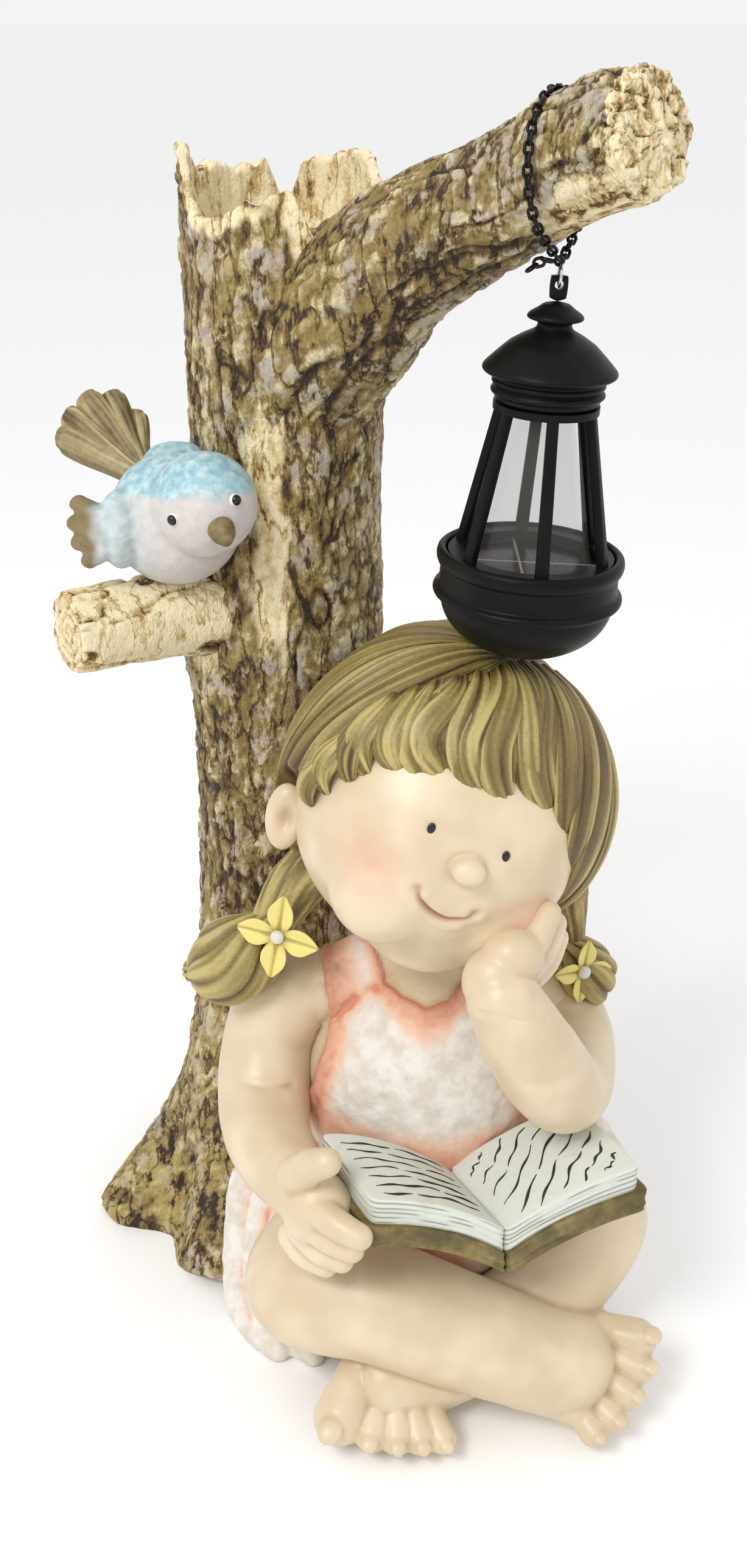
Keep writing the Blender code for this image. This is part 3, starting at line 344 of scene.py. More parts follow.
class Paint:
    def __init__(self, name, roughness=0.6, **fixed):
        self.material = bpy.data.materials.new(name)
        self.material.use_nodes = True
        self.tree = self.material.node_tree
        self.shader = self.tree.nodes["Principled BSDF"]
        self.set("Roughness", roughness)
        for socket, value in fixed.items():
            self.set(socket.replace("_", " ").title().replace("Ior", "IOR"), value)

    def set(self, socket, value):
        if isinstance(value, Wire):
            self.tree.links.new(value.socket, self.shader.inputs[socket])
        else:
            self.shader.inputs[socket].default_value = value

    def node(self, kind, settings=None, values=None, out=0):
        made = self.tree.nodes.new(kind)
        for name, value in (settings or {}).items():
            if name == "stops":
                ramp = made.color_ramp
                while len(ramp.elements) < len(value):
                    ramp.elements.new(0.5)
                for element, (place, colour) in zip(ramp.elements, value):
                    element.position, element.color = place, (*colour, 1.0)
            else:
                setattr(made, name, value)
        for key, value in (values or {}).items():
            if isinstance(value, Wire):
                self.tree.links.new(value.socket, made.inputs[key])
            else:
                made.inputs[key].default_value = value
        return Wire(self, made.outputs[out])

    def mark(self, name):
        return self.node("ShaderNodeAttribute", {"attribute_name": name}, out=2)

    def place(self, scale=(1, 1, 1)):       # where the surface is, in metres, stretched by scale
        found = self.node("ShaderNodeTexCoord", out=3)
        return self.node("ShaderNodeMapping", values={0: found, 3: scale})

    def height(self):
        return self.node("ShaderNodeSeparateXYZ", values={0: self.node("ShaderNodeTexCoord", out=3)}, out=2)

    def grain(self, size, detail=3.0, scale=(1, 1, 1)):     # noise with features of about size millimetres
        values = {"Vector": self.place(scale), "Scale": 1000.0 / size, "Detail": detail, "Roughness": 0.6}
        return self.node("ShaderNodeTexNoise", values=values)

    def cells(self, size, scale, stir):     # distance from the edges of bent cells, size millimetres wide
        at, often = self.place(scale), 1000.0 / size
        bend = self.node("ShaderNodeTexNoise", values={"Vector": at, "Scale": often, "Detail": 3.0}, out=1)
        far = (stir * size / 1000,) * 3
        moved = self.node("ShaderNodeVectorMath", {"operation": "MULTIPLY_ADD"}, {0: bend, 1: far, 2: at})
        wanted = {"feature": "DISTANCE_TO_EDGE"}
        return self.node("ShaderNodeTexVoronoi", wanted, {"Vector": moved, "Scale": often})

    def ramp(self, value, *stops):
        return self.node("ShaderNodeValToRGB", {"stops": stops}, {0: value})

    def mix(self, share, a, b):
        def coloured(c):
            return c if isinstance(c, Wire) else (*c, 1.0)
        return self.node("ShaderNodeMix", {"data_type": "RGBA"},
                {0: share, 6: coloured(a), 7: coloured(b)}, out=2)

    def bump(self, value, depth):       # depth in millimetres
        self.set("Normal", self.node("ShaderNodeBump",
                values={"Strength": 1.0, "Distance": depth / 1000, "Height": value}))

    def on(self, *objects):
        for obj in objects:
            obj.data.materials.clear()
            obj.data.materials.append(self.material)


def tone(red, green, blue):     # a colour as seen on a screen, 0 to 255, for the shader
    return tuple(((c / 255 + 0.055) / 1.055) ** 2.4 if c > 10 else c / 3294.6 for c in (red, green, blue))


def placed(obj, slot, *nodes):
    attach(obj, "root")
    if nodes:
        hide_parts(*nodes)
    return obj


def cast(obj):      # a surface of the casting
    return placed(obj, "painted_resin", "statue")


# The tree

tree = {"x": -36.0, "y": 49.0, "lean": 2.0, "radius": 39.0, "rows": 330, "around": 260, "barkDepth": 4.6,
    "hollowDepth": 27.0, "heights": (0, 20, 46, 110, 193, 266, 330, 404, 460),
    "girths": (1.27, 1.22, 1.12, 1.04, 1.01, 0.99, 0.95, 0.96, 0.95),
    "roots": ((193, 32, 0.26), (214, 34, 0.24), (236, 42, 0.24), (257, 38, 0.22), (345, 42, 0.26),
        (40, 18, 0.3), (95, 11, 0.3), (145, 18, 0.3)),
    "rimAngles": (0, 20, 40, 60, 80, 88, 94, 102, 120, 140, 160, 175, 190, 205, 220, 240, 255, 268, 280,
        290, 305, 325, 345, 360),
    "rimHeights": (455, 463, 467, 466, 462, 446, 448, 461, 459, 462, 460, 468, 469, 457, 449, 446, 452,
        458, 456, 443, 437, 436, 446, 455),
    "swellings": ((316, 425, 9, 0.5, 42), (213, 290, 7, 0.6, 36)), "knot": (-35, 396, 9.0),
    "bare": ((-40, 10, 342, 10.5, 50), (-21, 18, 447, 14, 22), (-60, 80, 300, 9, 50),
        (-5, 80, 200, 8, 45), (-66, 24, 292, 12, 26))}


def bark(points, depth):
    # Furrows along the grain, flakes between cracks with a height each, and crumbs: push, and 0 to 1 relief
    moved = points + 5.5 * grow(*(noise(points, 19, 30 + k) for k in range(3)))
    crack = ease(np.abs(layers(moved * (1, 1, 0.22), 12, 3, 2)), 0.0, 0.20)
    swell = 0.5 + 0.5 * noise(moved * (1, 1, 0.4), 12, 7)
    torn = moved + 2.4 * grow(*(noise(points, 4.5, 40 + k) for k in range(3)))
    inside, own = plates(torn * (1, 1, 0.55), 6.2, 21)
    flake = ease(inside, 0.0, 0.35) * own
    crumbs = 0.5 + 0.5 * layers(points * (1, 1, 0.6), 2.6, 11, 2)
    relief = 0.30 * crack + 0.24 * swell + 0.30 * flake + 0.16 * crumbs
    return depth * (relief - 0.5), np.clip(1.35 * relief - 0.17, 0, 1)


def makeTrunk(t):
    # Radius over height and angle: the trunk's own, a ridge for each root, swellings to branch and stub.
    # Then over the rim and in
    angle = turns(t["around"])[None]

    def apart(degrees):
        return (angle - math.radians(degrees) + math.pi) % (2 * math.pi) - math.pi
    ringed = grow(14 * np.cos(angle), 14 * np.sin(angle), 0 * angle)
    rim = np.interp(np.degrees(angle), t["rimAngles"], t["rimHeights"])
    rim = rim + 2.6 * noise(ringed, 5, 5) + 2.4 * noise(ringed, 2.0, 6) + 1.0 * noise(ringed, 0.8, 8)
    z = np.linspace(0, 1, t["rows"])[:, None] * rim
    radius = t["radius"] * np.interp(z, t["heights"], t["girths"])
    for degrees, reach, width in t["roots"]:
        away = apart(degrees) + 0.08 * np.sin(z / 22 + degrees)
        radius = radius + reach * np.exp(-np.maximum(z - 6, 0) / 46) * hump(away, width + z / 420)
    for degrees, height, reach, wide, tall in t["swellings"]:
        radius = radius + reach * hump(apart(degrees), wide) * hump(z - height, tall)
    ways = grow(np.cos(angle), np.sin(angle), 0 * angle)
    outside = grow(t["x"] + t["lean"] * ease(z, 200, 400), t["y"] + 0 * z, z) + radius[..., None] * ways
    push, relief = bark(outside, t["barkDepth"])
    front = ease(-outside[..., 1], -40, -25)
    x, height, size = t["knot"]
    knot = np.hypot(outside[..., 0] - x, 1.15 * (outside[..., 2] - height))
    push = push + front * (2.4 * hump(knot - size, 2.2) + 1.6 * hump(knot, 4.5))
    bare = np.zeros_like(z)
    for x, y, height, wide, tall in t["bare"]:
        apartFlat = (outside[..., 0] - x) ** 2 + 0.4 * (outside[..., 1] - y) ** 2
        bare = np.maximum(bare, np.exp(-apartFlat / wide ** 2 - ((outside[..., 2] - height) / tall) ** 2))
    bare = ease(bare + 0.34 * layers(outside * (1, 1, 0.35), 9, 42, 3), 0.28, 0.75)
    worn = 0.5 * layers(outside * (1, 1, 0.12), 4, 50, 3)
    push = (push * (1 - bare) + bare * (worn - 1.6)) * (0.4 + 0.6 * ease(z, 0.0, 3.0))
    relief = relief * (1 - bare) + bare * (0.62 + 0.5 * worn)
    outside = outside + push[..., None] * ways
    torn = np.maximum(bare, ease(z, rim - 9, rim - 2) * ease(noise(outside, 7, 41), -0.5, 0.3))
    # Inside the rim: a broken wall, then the hollow's floor
    inward = np.linspace(0.02, 0.98, 52)[:, None]
    wall = 0.12 + 0.05 * noise(ringed, 4, 8)
    share = 1 - wall * ease(inward, 0, 0.12) - (1 - wall) * ease(inward, 0.25, 1.0) * 0.98
    depth = (t["hollowDepth"] + 4 * noise(ringed, 6, 9)) * ease(inward, 0.04, 0.55)
    middle = grow(t["x"] + t["lean"], t["y"], 0 * angle)
    inside = middle + (outside[-1:] - middle) * (1, 1, 0) * share[..., None] + grow(0, 0, rim - depth)
    rough = layers(inside * (1, 1, 0.15), 5, 60, 3)
    lump = 1.6 * rough * ease(inward, 0.1, 0.3) * (1 - ease(inward, 0.5, 0.9))
    inside = inside - lump[..., None] * ways
    # Painted shade: the hollow inside the rim is painted darker and less pale the deeper it goes
    deep = ease(inward, 0.1, 0.8) + 0 * angle
    marks = {"relief": [np.vstack([relief, 0.72 - 0.5 * deep + 0.4 * rough])],
        "torn": [np.vstack([torn, 1 - 0.3 * deep])], "sap": [np.vstack([0 * relief, 0 * deep])]}
    return cast(meshOf("trunk", [np.vstack([outside, inside])], marks))


branch = {"rows": ((-36, 49, 376, 31), (-9.5, 23, 414, 28.5), (9.8, 4.5, 437, 24),
        (37.5, -22.4, 456.5, 20.2), (52, -36.5, 466, 19.6), (66.0, -50.8, 475.3, 19.8),
        (76.5, -61.5, 479.6, 19.2), (81.0, -66.0, 481.2, 18.2)),
    "stub": ((-36, 49, 294, 34), (-56, 36, 297, 24), (-70, 27, 299, 18.8), (-92, 13.0, 300.4, 16.4),
        (-115.5, -2.4, 300.8, 15.8)),
    "barkDepth": 4.0}


def sawnEnd(shell, marks, rings, rough, ringDepth):
    # A limb ends in a broken face: rings that shrink to the middle, with lumps, clefts and a raised rim
    centre = shell[-1].mean(0)
    way = unit(centre - shell[-20].mean(0))
    share = np.linspace(0.97, 0.05, rings)[:, None]
    ring = centre + (shell[-1] - centre) * share[..., None]
    a = turns(shell.shape[1])[None]
    stirred = ring + 4.5 * grow(*(noise(ring, 7, 73 + k) for k in range(3))) + 1.6 * noise(ring, 2.2,
            78)[..., None]
    inside, own = plates(stirred, 9.5, 71)
    cleft = ease(inside, 0.0, 0.10)
    ringed = 0.5 + 0.5 * np.cos(share * 24 + a + 1.6 * noise(ring, 7, 72))
    lumps = 1.5 * layers(ring, 6, 70, 4) + 1.8 * own + 1.6 * (cleft - 1) + 2.2 * (1 - share ** 2)
    lumps = rough * lumps + ringDepth * ringed
    lumps = lumps + (0.5 + 1.3 * np.abs(noise(ring, 6, 74))) * hump(share - 0.90, 0.08)
    relief = rough * (0.30 + 0.34 * cleft + 0.14 * layers(ring, 3, 79, 2))
    relief = relief + (1 - rough) * (0.30 + 0.45 * ringed)
    extra = {"relief": relief, "torn": np.ones(ring.shape[:2]), "sap": 0.5 * (1 - rough) * (1 - ringed)}
    shell = np.vstack([shell, ring + way * lumps[..., None]])
    return shell, {name: np.vstack([marks[name], extra[name]]) for name in marks}


def makeBranch(b):
    shell, out, s = tube(b["rows"], 230, 150, cap=0)
    a = turns(150)[None]
    rolled = grow(24 * np.cos(a), 24 * np.sin(a), 190 * s)
    push, relief = bark(rolled, b["barkDepth"])
    below = ease(-out[..., 2] + 0.45 * layers(shell, 14, 80, 2), 0.1, 0.4) * ease(s, 0.50, 0.62)
    grain = layers(rolled * (1, 1, 0.10), 3.2, 81, 3)
    push = push * (1 - below) + below * (0.5 * grain - 0.8)
    relief = relief * (1 - below) + below * (0.50 + 0.4 * grain)
    near = ease(s, 0.80, 1.0)
    push = push + 1.3 * near * layers(rolled, 8, 83, 3)
    torn = np.maximum(0.7 * below, ease(near + 0.45 * layers(rolled, 7, 82, 2), 0.45, 0.75))
    relief = np.clip(relief + 0.12 * near, 0, 1)
    shell, marks = sawnEnd(shell + push[..., None] * out,
            {"relief": relief, "torn": torn, "sap": 0 * torn}, 22, 1.0, 0.0)
    return cast(meshOf("branch", [shell], {k: [v] for k, v in marks.items()}))


def makeStub(b):
    shell, out, s = tube(b["stub"], 150, 120, cap=0)
    a = turns(120)[None]
    rolled = grow(16 * np.cos(a), 16 * np.sin(a), 86 * s)
    fissure = ease(np.abs(layers((rolled + 3 * noise(rolled, 14, 90)[..., None]) * (1, 1, 0.16), 7.5, 91,
            2)), 0.0, 0.16)
    push, rough = bark(rolled, 3.4)
    old = ease(0.62 - s + 0.35 * layers(shell, 12, 92, 2), 0.0, 0.22)
    relief = (1 - old) * (0.20 + 0.55 * fissure + 0.12 * noise(rolled, 3, 93)) + old * rough
    shell = shell + ((1 - old) * (1.9 * (fissure - 0.8) + 0.7 * noise(rolled, 9, 94)) + old * push)[...,
            None] * out
    marks = {"relief": relief, "torn": 1 - 0.85 * old, "sap": 0 * s}
    shell, marks = sawnEnd(shell, marks, 20, 0.25, 0.9)
    return cast(meshOf("stub", [shell], {k: [v] for k, v in marks.items()}))


def barkPaint():
    paint = Paint("paintedBark", 0.72)
    relief, torn = paint.mark("relief"), paint.mark("torn")
    fine = paint.grain(3.4, 7, (1, 1, 0.55))
    crumb = paint.grain(1.3, 3)
    mottle = paint.grain(11, 4)
    furrow = paint.grain(11, 5, (1, 1, 0.32)) - 0.5
    crack = paint.node("ShaderNodeMath", {"operation": "ABSOLUTE"}, {0: furrow}).band(0.0, 0.045)
    chip = paint.cells(3.0, (1, 1, 0.7), 1.2).band(0.0, 0.16)
    surface = fine * 0.85 + crumb * 0.2 + crack * 0.22 + chip * 0.08
    value = relief * 0.85 + (fine - 0.5) * 1.1 + (crumb - 0.5) * 0.30
    value = value + (crack - 0.8) * 0.34 + (chip - 0.8) * 0.08
    old = paint.ramp(value, (0.08, tone(44, 32, 18)), (0.28, tone(92, 72, 38)),
            (0.44, tone(126, 104, 58)), (0.62, tone(158, 140, 92)), (0.80, tone(206, 192, 154)))
    lilac = paint.mix(mottle.band(0.50, 0.60) * value.band(0.36, 0.62) * 0.8, old, tone(172, 162, 152))
    olive = paint.mix(mottle.band(0.48, 0.38) * value.band(0.15, 0.4) * 0.55, lilac, tone(138, 116, 56))
    wood = paint.ramp(value + 0.10, (0.08, tone(96, 68, 34)), (0.26, tone(168, 136, 84)),
            (0.44, tone(210, 186, 132)), (0.70, tone(238, 224, 186)))
    both = paint.mix(torn.band(0.15, 0.85), olive, wood)
    sap = paint.mix(paint.mark("sap") * 0.6, both, tone(150, 112, 62))
    low = (1 - paint.height().band(0.01, 0.16)) * paint.grain(26, 2).band(0.38, 0.6) * value.band(0.1, 0.5)
    paint.set("Base Color", paint.mix(low * 0.6, sap, tone(184, 164, 98)))
    paint.bump(surface, 1.5)
    return paint


trunk = makeTrunk(tree)
limb = makeBranch(branch)
stub = makeStub(branch)
barkPaint().on(trunk, limb, stub)
print("tree made")


# The girl's head. Its own frame: x to her left, -y forward, z to her crown

headPose = turned("Z", 9.0) @ turned("Y", 20.7)
head = {"centre": np.array([25.0, -46.0, 246.0]), "skull": (55, 53, 53), "around": 340, "rows": 250,
    "swellings": (((-21, -32, -20), (19.5, 19, 19)), ((25, -32, -20), (19.5, 18.5, 19)),
        ((4, -17, -29), (27, 24, 25.6))),
    "nose": ((-3.2, -53.6, 5.4), (6.3, 5.6, 5.2)),
    "mouth": ((-16.4, -7.4), (-14.4, -10.6), (-9.2, -14.4), (-2.4, -16.2), (2.8, -14.2), (6.4, -10.4)),
    "eyes": ((-19.3, 14.6), (8.6, 12.9)), "blush": ((-33, -6, 10), (29, -12, 10)),
    "ear": (-55.5, 1.5, -18.0)}


def onHead(points):
    return head["centre"] + points @ headPose.T


def headDepth(x, z):        # how far forward the skull and cheeks come at a place of the face
    a, b, c = head["skull"]
    best = b * np.sqrt(np.maximum(1 - (x / a) ** 2 - (z / c) ** 2, 0.01))
    for (mx, my, mz), (ra, rb, rc) in head["swellings"][:2]:
        inside = 1 - ((x - mx) / ra) ** 2 - ((z - mz) / rc) ** 2
        best = np.maximum(best, np.where(inside > 0, -my + rb * np.sqrt(np.maximum(inside, 0)), 0))
    return -best


def makeHead(h):
    # Rays from the middle of the head to the far side of each egg, blended by a soft greatest.
    # They stand closer together in front
    v = np.linspace(0.02, math.pi - 0.02, h["rows"])[:, None]
    u = np.linspace(-math.pi, math.pi, h["around"], endpoint=False)
    u = (u - 0.5 * np.sin(u))[None]
    ways = grow(np.sin(v) * np.sin(u), -np.sin(v) * np.cos(u), -np.cos(v))

    def farSide(middle, radii):
        d, m = ways / np.array(radii), np.array(middle) / np.array(radii)
        a, b, c = (d * d).sum(-1), (d * m).sum(-1), (m * m).sum() - 1
        return np.where(b * b > a * c, (b + np.sqrt(np.maximum(b * b - a * c, 0))) / a, 30)

    def blend(one, other, sharp):
        return 60 + np.log(np.exp(sharp * (one - 60)) + np.exp(sharp * (other - 60))) / sharp
    reach = farSide((0, 0, 0), h["skull"])
    for middle, radii in h["swellings"]:
        reach = blend(reach, farSide(middle, radii), 0.5)
    reach = blend(reach, farSide(*h["nose"]), 1.3)
    p = ways * reach[..., None]
    front = ease(-p[..., 1], 10, 25)
    face = p[..., [0, 2]]
    line = through(np.array(h["mouth"]), 30)
    away, where = toLine(face, line)
    lips = np.clip(np.sin(math.pi * np.clip(where, 0.0, 1.0)), 0.05, 1) ** 0.5
    under, _ = toLine(face, line[6:-6] + (1.0, -3.6))
    ends = np.minimum(np.linalg.norm(face - line[0], axis=-1), np.linalg.norm(face - line[-1], axis=-1))
    dent = -1.7 * hump(away, 0.8) * lips + 0.9 * hump(under, 2.4) - 1.0 * hump(ends,
            1.6) + 0.9 * hump(ends - 3.6, 2.2)
    for x, z in h["eyes"]:
        dent = dent - 0.4 * hump(np.linalg.norm(face - (x, z), axis=-1), 3.0)
    nose = np.linalg.norm((face - (h["nose"][0][0], h["nose"][0][2])) * (1, 1.15), axis=-1)
    dent = dent - 0.35 * hump(nose - 7.4, 1.1)
    reach = reach + front * dent + 0.12 * noise(p, 9, 100)
    blush = sum(hump(np.linalg.norm(face - (x, z), axis=-1), size) for x, z, size in h["blush"]) * front
    # Painted shade: a darker band along the mouth and a ring round the nose
    marks = {"blush": [blush], "mouth": [front * hump(away, 0.72) * lips],
        "crease": [front * (0.35 * hump(away, 1.8) + 0.40 * hump(nose - 7.0, 1.3))]}
    return cast(meshOf("head", [onHead(ways * reach[..., None])], marks))


def makeEar():
    # An egg with a bowl pressed into its face, whose depth falls off as a bell round its middle
    shell = egg((0, 0, 0), (7.2, 5.5, 13.0), turned("Y", -12), rows=70, around=80)
    forward = ease(-shell[..., 1], 0.0, 2.5)
    bowl = hump(np.hypot(shell[..., 0] - 1.6, 0.62 * (shell[..., 2] - 1.0)), 3.4)
    shell = shell + grow(0 * bowl, 4.2 * bowl * forward, 0 * bowl)
    # Painted shade in the ear's bowl
    return cast(meshOf("ear", [onHead(shell @ turned("Z", -28).T + head["ear"])],
            {"blush": [0.2 * bowl * forward], "mouth": [0 * bowl], "crease": [0.55 * bowl * forward]}))


def makeEyes():
    shells = []
    for x, z in head["eyes"]:
        place = (x, headDepth(np.array(x), np.array(z)) + 0.35, z)
        shells.append(onHead(egg(place, (1.5, 0.9, 2.1), turned("Y", -8), 15, 24)))
    return cast(meshOf("eyes", shells))


def skinPaint():
    paint = Paint("paintedSkin", 0.42, coat_weight=0.25, coat_roughness=0.3)
    skin = paint.mix(paint.grain(28, 2).band(0.35, 0.7), tone(208, 188, 156), tone(222, 204, 174))
    # Painted shade: the skin turns a darker warm brown in its creases and hollows
    shadedSkin = paint.mix(paint.mark("crease").band(0.05, 1.0) * 0.8, skin, tone(166, 130, 88))
    blush = paint.mix(paint.mark("blush") * 0.42, shadedSkin, tone(212, 142, 116))
    paint.set("Base Color", paint.mix(paint.mark("mouth") * 0.95, blush, tone(162, 74, 58)))
    paint.bump(paint.grain(4, 3), 0.15)
    return paint


skin = skinPaint()
face = makeHead(head)
ear = makeEar()
skin.on(face, ear)
eyes = makeEyes()
black = Paint("eyeBlack", 0.22)
black.set("Base Color", (*tone(22, 18, 16), 1))
black.on(eyes)
print("head made")


# Hair

hair = {"centre": np.array([24.6, -36.9, 248.8]), "radii": (61, 55, 64), "around": 760, "rows": 100,
    "strands": 130, "locks": 30, "crown": (2, 79),
    "swellings": (((-140, 65), 4.5, 0.7), ((80, 12), -4.2, 0.6)),
    "hem": ((-66, -1), (-60, 4), (-52, 15), (-45, 21), (-36, 27), (-26, 29), (-15, 31), (-5, 31), (4, 27),
        (12, 26), (20, 28), (30, 24), (38, 12), (46, -3), (56, -19), (66, -36), (80, -52), (100, -60),
        (130, -62), (160, -62), (180, -62), (-158, -60), (-135, -57), (-114, -50), (-103, -36),
        (-97, -20), (-90, -8), (-82, -4), (-74, -2))}


def aim(degrees):       # unit vectors from (side, height) in degrees, side 0 being forward
    a, b = np.radians(np.asarray(degrees, float)).T
    return grow(np.cos(b) * np.sin(a), -np.cos(b) * np.cos(a), np.sin(b))


def makeHair(h):
    # Combed lines: each leaves the crown and ends at the hem, on the great curve between them.
    # Ridges follow the lines
    s = np.linspace(0, 1, h["around"], endpoint=False)
    t = np.linspace(0.012, 1, h["rows"])[:, None, None]
    hem = unit(through(np.vstack([aim(h["hem"]), aim(h["hem"][:1])]), 601))
    end = np.stack([np.interp(s * 600, np.arange(601), hem[:, n]) for n in range(3)], -1)
    turn = 2 * math.pi * s
    ringed = grow(np.cos(turn), np.sin(turn), 0 * s)
    uneven = noise(ringed, 0.14, 110) + 0.5 * noise(ringed, 0.06, 111)
    end = unit(end - grow(0, 0, 0.06 * np.abs(uneven) - 0.02))
    start = aim([h["crown"]])[0]
    apart = np.arccos(np.clip(end @ start, -1, 1))[:, None]
    line = (np.sin((1 - t) * apart) * start + np.sin(t * apart) * end) / np.sin(apart)
    sway = 0.05 * np.sin(t * 5 + 3 * turn[:, None]) * np.sin(math.pi * t)
    line = unit(line + sway * unit(np.cross(start, end)))
    t, turn = t[..., 0], turn[None]
    bent = turn + 0.012 * np.sin(6 * t + 9 * turn)
    ring = grow(np.cos(bent), np.sin(bent), 0 * turn)
    strand = noise(ring * h["strands"] / 6.28 + grow(0, 0, 1.8 * t), 1.0, 120)
    finer = noise(ring * h["strands"] * 2.1 / 6.28 + grow(0, 0, 2.6 * t), 1.0, 121)
    lock = np.abs(noise(ring * h["locks"] / 6.28 + grow(0, 0, 0.6 * t), 1.0, 122))
    body = ease(t, 0.0, 0.12)
    lift = -2.5 * (1 - body) + body * (0.75 * strand + 0.3 * finer - 2.2 * hump(lock, 0.10))
    lift = lift + 1.6 * ease(t, 0.2, 0.6) - 5.0 * ease(t, 0.95, 1.0)
    for place, height, wide in h["swellings"]:
        lift = lift + height * hump(np.arccos(np.clip(line @ aim([place])[0], -1, 1)), wide)
    shell = h["centre"] + (line * (np.array(h["radii"]) - 1.0 + lift[..., None])) @ headPose.T
    inward = np.array(h["radii"]) * np.array([0.86, 0.6])[:, None, None]
    inner = h["centre"] + (line[-1:] * inward) @ headPose.T
    # Painted shade: darker round the sunken crown, and darkest on the underside of the hem
    relief = 0.52 + 0.26 * strand + 0.12 * finer - 0.55 * hump(lock, 0.11) - 0.45 * (1 - body)
    relief = np.vstack([relief, relief[-1:] * 0, relief[-1:] * 0])
    return cast(meshOf("hairCap", [np.vstack([shell, inner])], {"relief": [relief]}))


def onHair(way, lift):
    return hair["centre"] + (way * (np.array(hair["radii"]) + lift)) @ headPose.T


def ridged(shell, out, s, count, depth, seed, twist=0.0):
    # Ridges along a swept lock, from the angle round it
    a = turns(shell.shape[1])[None] + twist * s
    ring = grow(np.cos(a), np.sin(a), 0.5 * s + seed)
    wave = noise(ring * count / 6.28, 1.0, 7) + 0.45 * noise(ring * count / 2.8, 1.0, 8)
    return shell + (depth * wave)[..., None] * out, 0.52 + 0.48 * wave


fringe = {"locks": (((-62, 14), (-62, -6), 5.0), ((-59, 24), (-56, 1), 5.5), ((-58, 33), (-50, 9), 6.0),
        ((-56, 41), (-44, 14), 6.2), ((-50, 47), (-35, 20), 6.6), ((-44, 53), (-26, 22), 6.8),
        ((-35, 59), (-18, 24), 7.0), ((-25, 65), (-9.5, 24), 6.6), ((-16, 69), (-1, 21), 6.6),
        ((-8, 73), (9, 19), 6.8), ((2, 76), (18, 21), 6.8), ((24, 78), (28, 19), 6.8),
        ((50, 77), (36, 9), 6.8), ((66, 74), (45, -6), 7.0), ((78, 69), (56, -21), 7.2),
        ((86, 63), (68, -36), 7.5)),
    "bow": 0.15}


def makeFringe(f):
    # Each lock lies on the hair from its root to its tip in a bow to her right,
    # fullest past the middle and pointed at the end
    shells, reliefs = [], []
    locks = [(np.array(a), np.array(b), wide, 0.0) for a, b, wide in f["locks"]]
    locks += [(0.5 * (a + c), 0.5 * (b + d) + (1.0, 3.5 + 2.0 * math.sin(3 * k)), 0.8 * wide, -1.0)
              for k, ((a, b, wide, _), (c, d, _, _)) in enumerate(zip(locks[:-1], locks[1:]))]
    share = np.array([0, 0.15, 0.3, 0.45, 0.6, 0.75, 0.88, 0.96, 1.0])[:, None]
    for k, (root, tip, wide, lower) in enumerate(locks):
        a, b = aim([root])[0], aim([tip])[0]
        apart = math.acos(a @ b)
        line = (np.sin((1 - share) * apart) * a + np.sin(share * apart) * b) / math.sin(apart)
        across = unit(np.cross(a, b))
        across = -across if across[0] > 0 else across
        bow = np.sin(math.pi * share) - 0.45 * np.sin(2 * math.pi * share)
        bow = bow * f["bow"] * (0.8 + 0.4 * math.sin(2.4 * k)) * min(1.0, apart / 0.7) ** 2
        line = unit(line + bow * across)
        lift = lower - 1.5 + 4.2 * np.sin(math.pi * np.clip(0.12 + 0.75 * share, 0, 1)) - 3.0 * share ** 8
        size = wide * (0.30 + 0.75 * np.sin(math.pi * np.clip(0.70 * share + 0.05, 0, 1)))
        rows = np.hstack([onHair(line, lift), size * (1 - 0.86 * share ** 9)])
        shell, out, s = tube(rows, 70, 64, flat=0.5, side=unit(a @ headPose.T), cap=6)
        shell, relief = ridged(shell, out, s, 20, 0.55, 3.0 * k, 0.6)
        shells.append(shell)
        # Painted shade: each lock is darker at its root, where it leaves the cap, and the lower in-between
        # locks are darker all along
        reliefs.append(relief - 0.35 * (1 - ease(s, 0.0, 0.15)) - 0.15 * (lower < 0))
    return cast(meshOf("fringe", shells, {"relief": reliefs}))


bunches = {"left": {"tie": (-38, -47, 197), "end": (-72, -40, 171), "radius": 16.5},
    "right": {"tie": (77, -35, 184), "end": (93, -32, 158), "radius": 12.8}}


def makeBunch(name, b):
    # An onion: the radius rises and falls from tie to end, with deep curved grooves between its locks
    tie, end = np.array(b["tie"], float), np.array(b["end"], float)
    rows = [(*(tie + (end - tie) * share + np.array([0, -2.0, -4.0]) * math.sin(math.pi * share)),
            b["radius"] * size) for share, size in ((0, 0.42), (0.12, 0.62), (0.3, 0.90), (0.5, 1.0),
            (0.7, 0.92), (0.88, 0.6), (1.0, 0.25))]
    shell, out, s = tube(rows, 90, 150, side=(0, 1, 0), cap=6)
    a = turns(150)[None] + 1.5 * s + 0.3 * np.sin(5 * s)
    lock = np.abs(np.sin(a * 4.5))
    ring = grow(np.cos(a), np.sin(a), 0.3 * s)
    fine = noise(ring * 9, 1.0, 130)
    push = 2.2 * (lock ** 0.5 - 0.7) + 0.5 * fine
    shell = shell + (push * ease(s, -0.1, 0.2))[..., None] * out
    return cast(meshOf(name, [shell], {"relief": [0.15 + 0.6 * lock ** 0.5 + 0.25 * fine]}))


def makeStrands():
    shells, reliefs = [], []
    for rows in (((-10, -34, 226, 9), (-26, -40, 212, 9), (-38, -46, 197, 6)),
            ((-16, -26, 222, 9), (-32, -34, 208, 9), (-42, -42, 194, 7)),
            ((70, -28, 222, 11), (76, -31, 204, 9), (78, -35, 186, 6))):
        shell, out, s = tube(rows, 40, 60, side=(0, 1, 0))
        shell, relief = ridged(shell, out, s, 30, 0.7, rows[0][0], 0.8)
        shells.append(shell)
        reliefs.append(relief)
    return cast(meshOf("sideStrands", shells, {"relief": reliefs}))


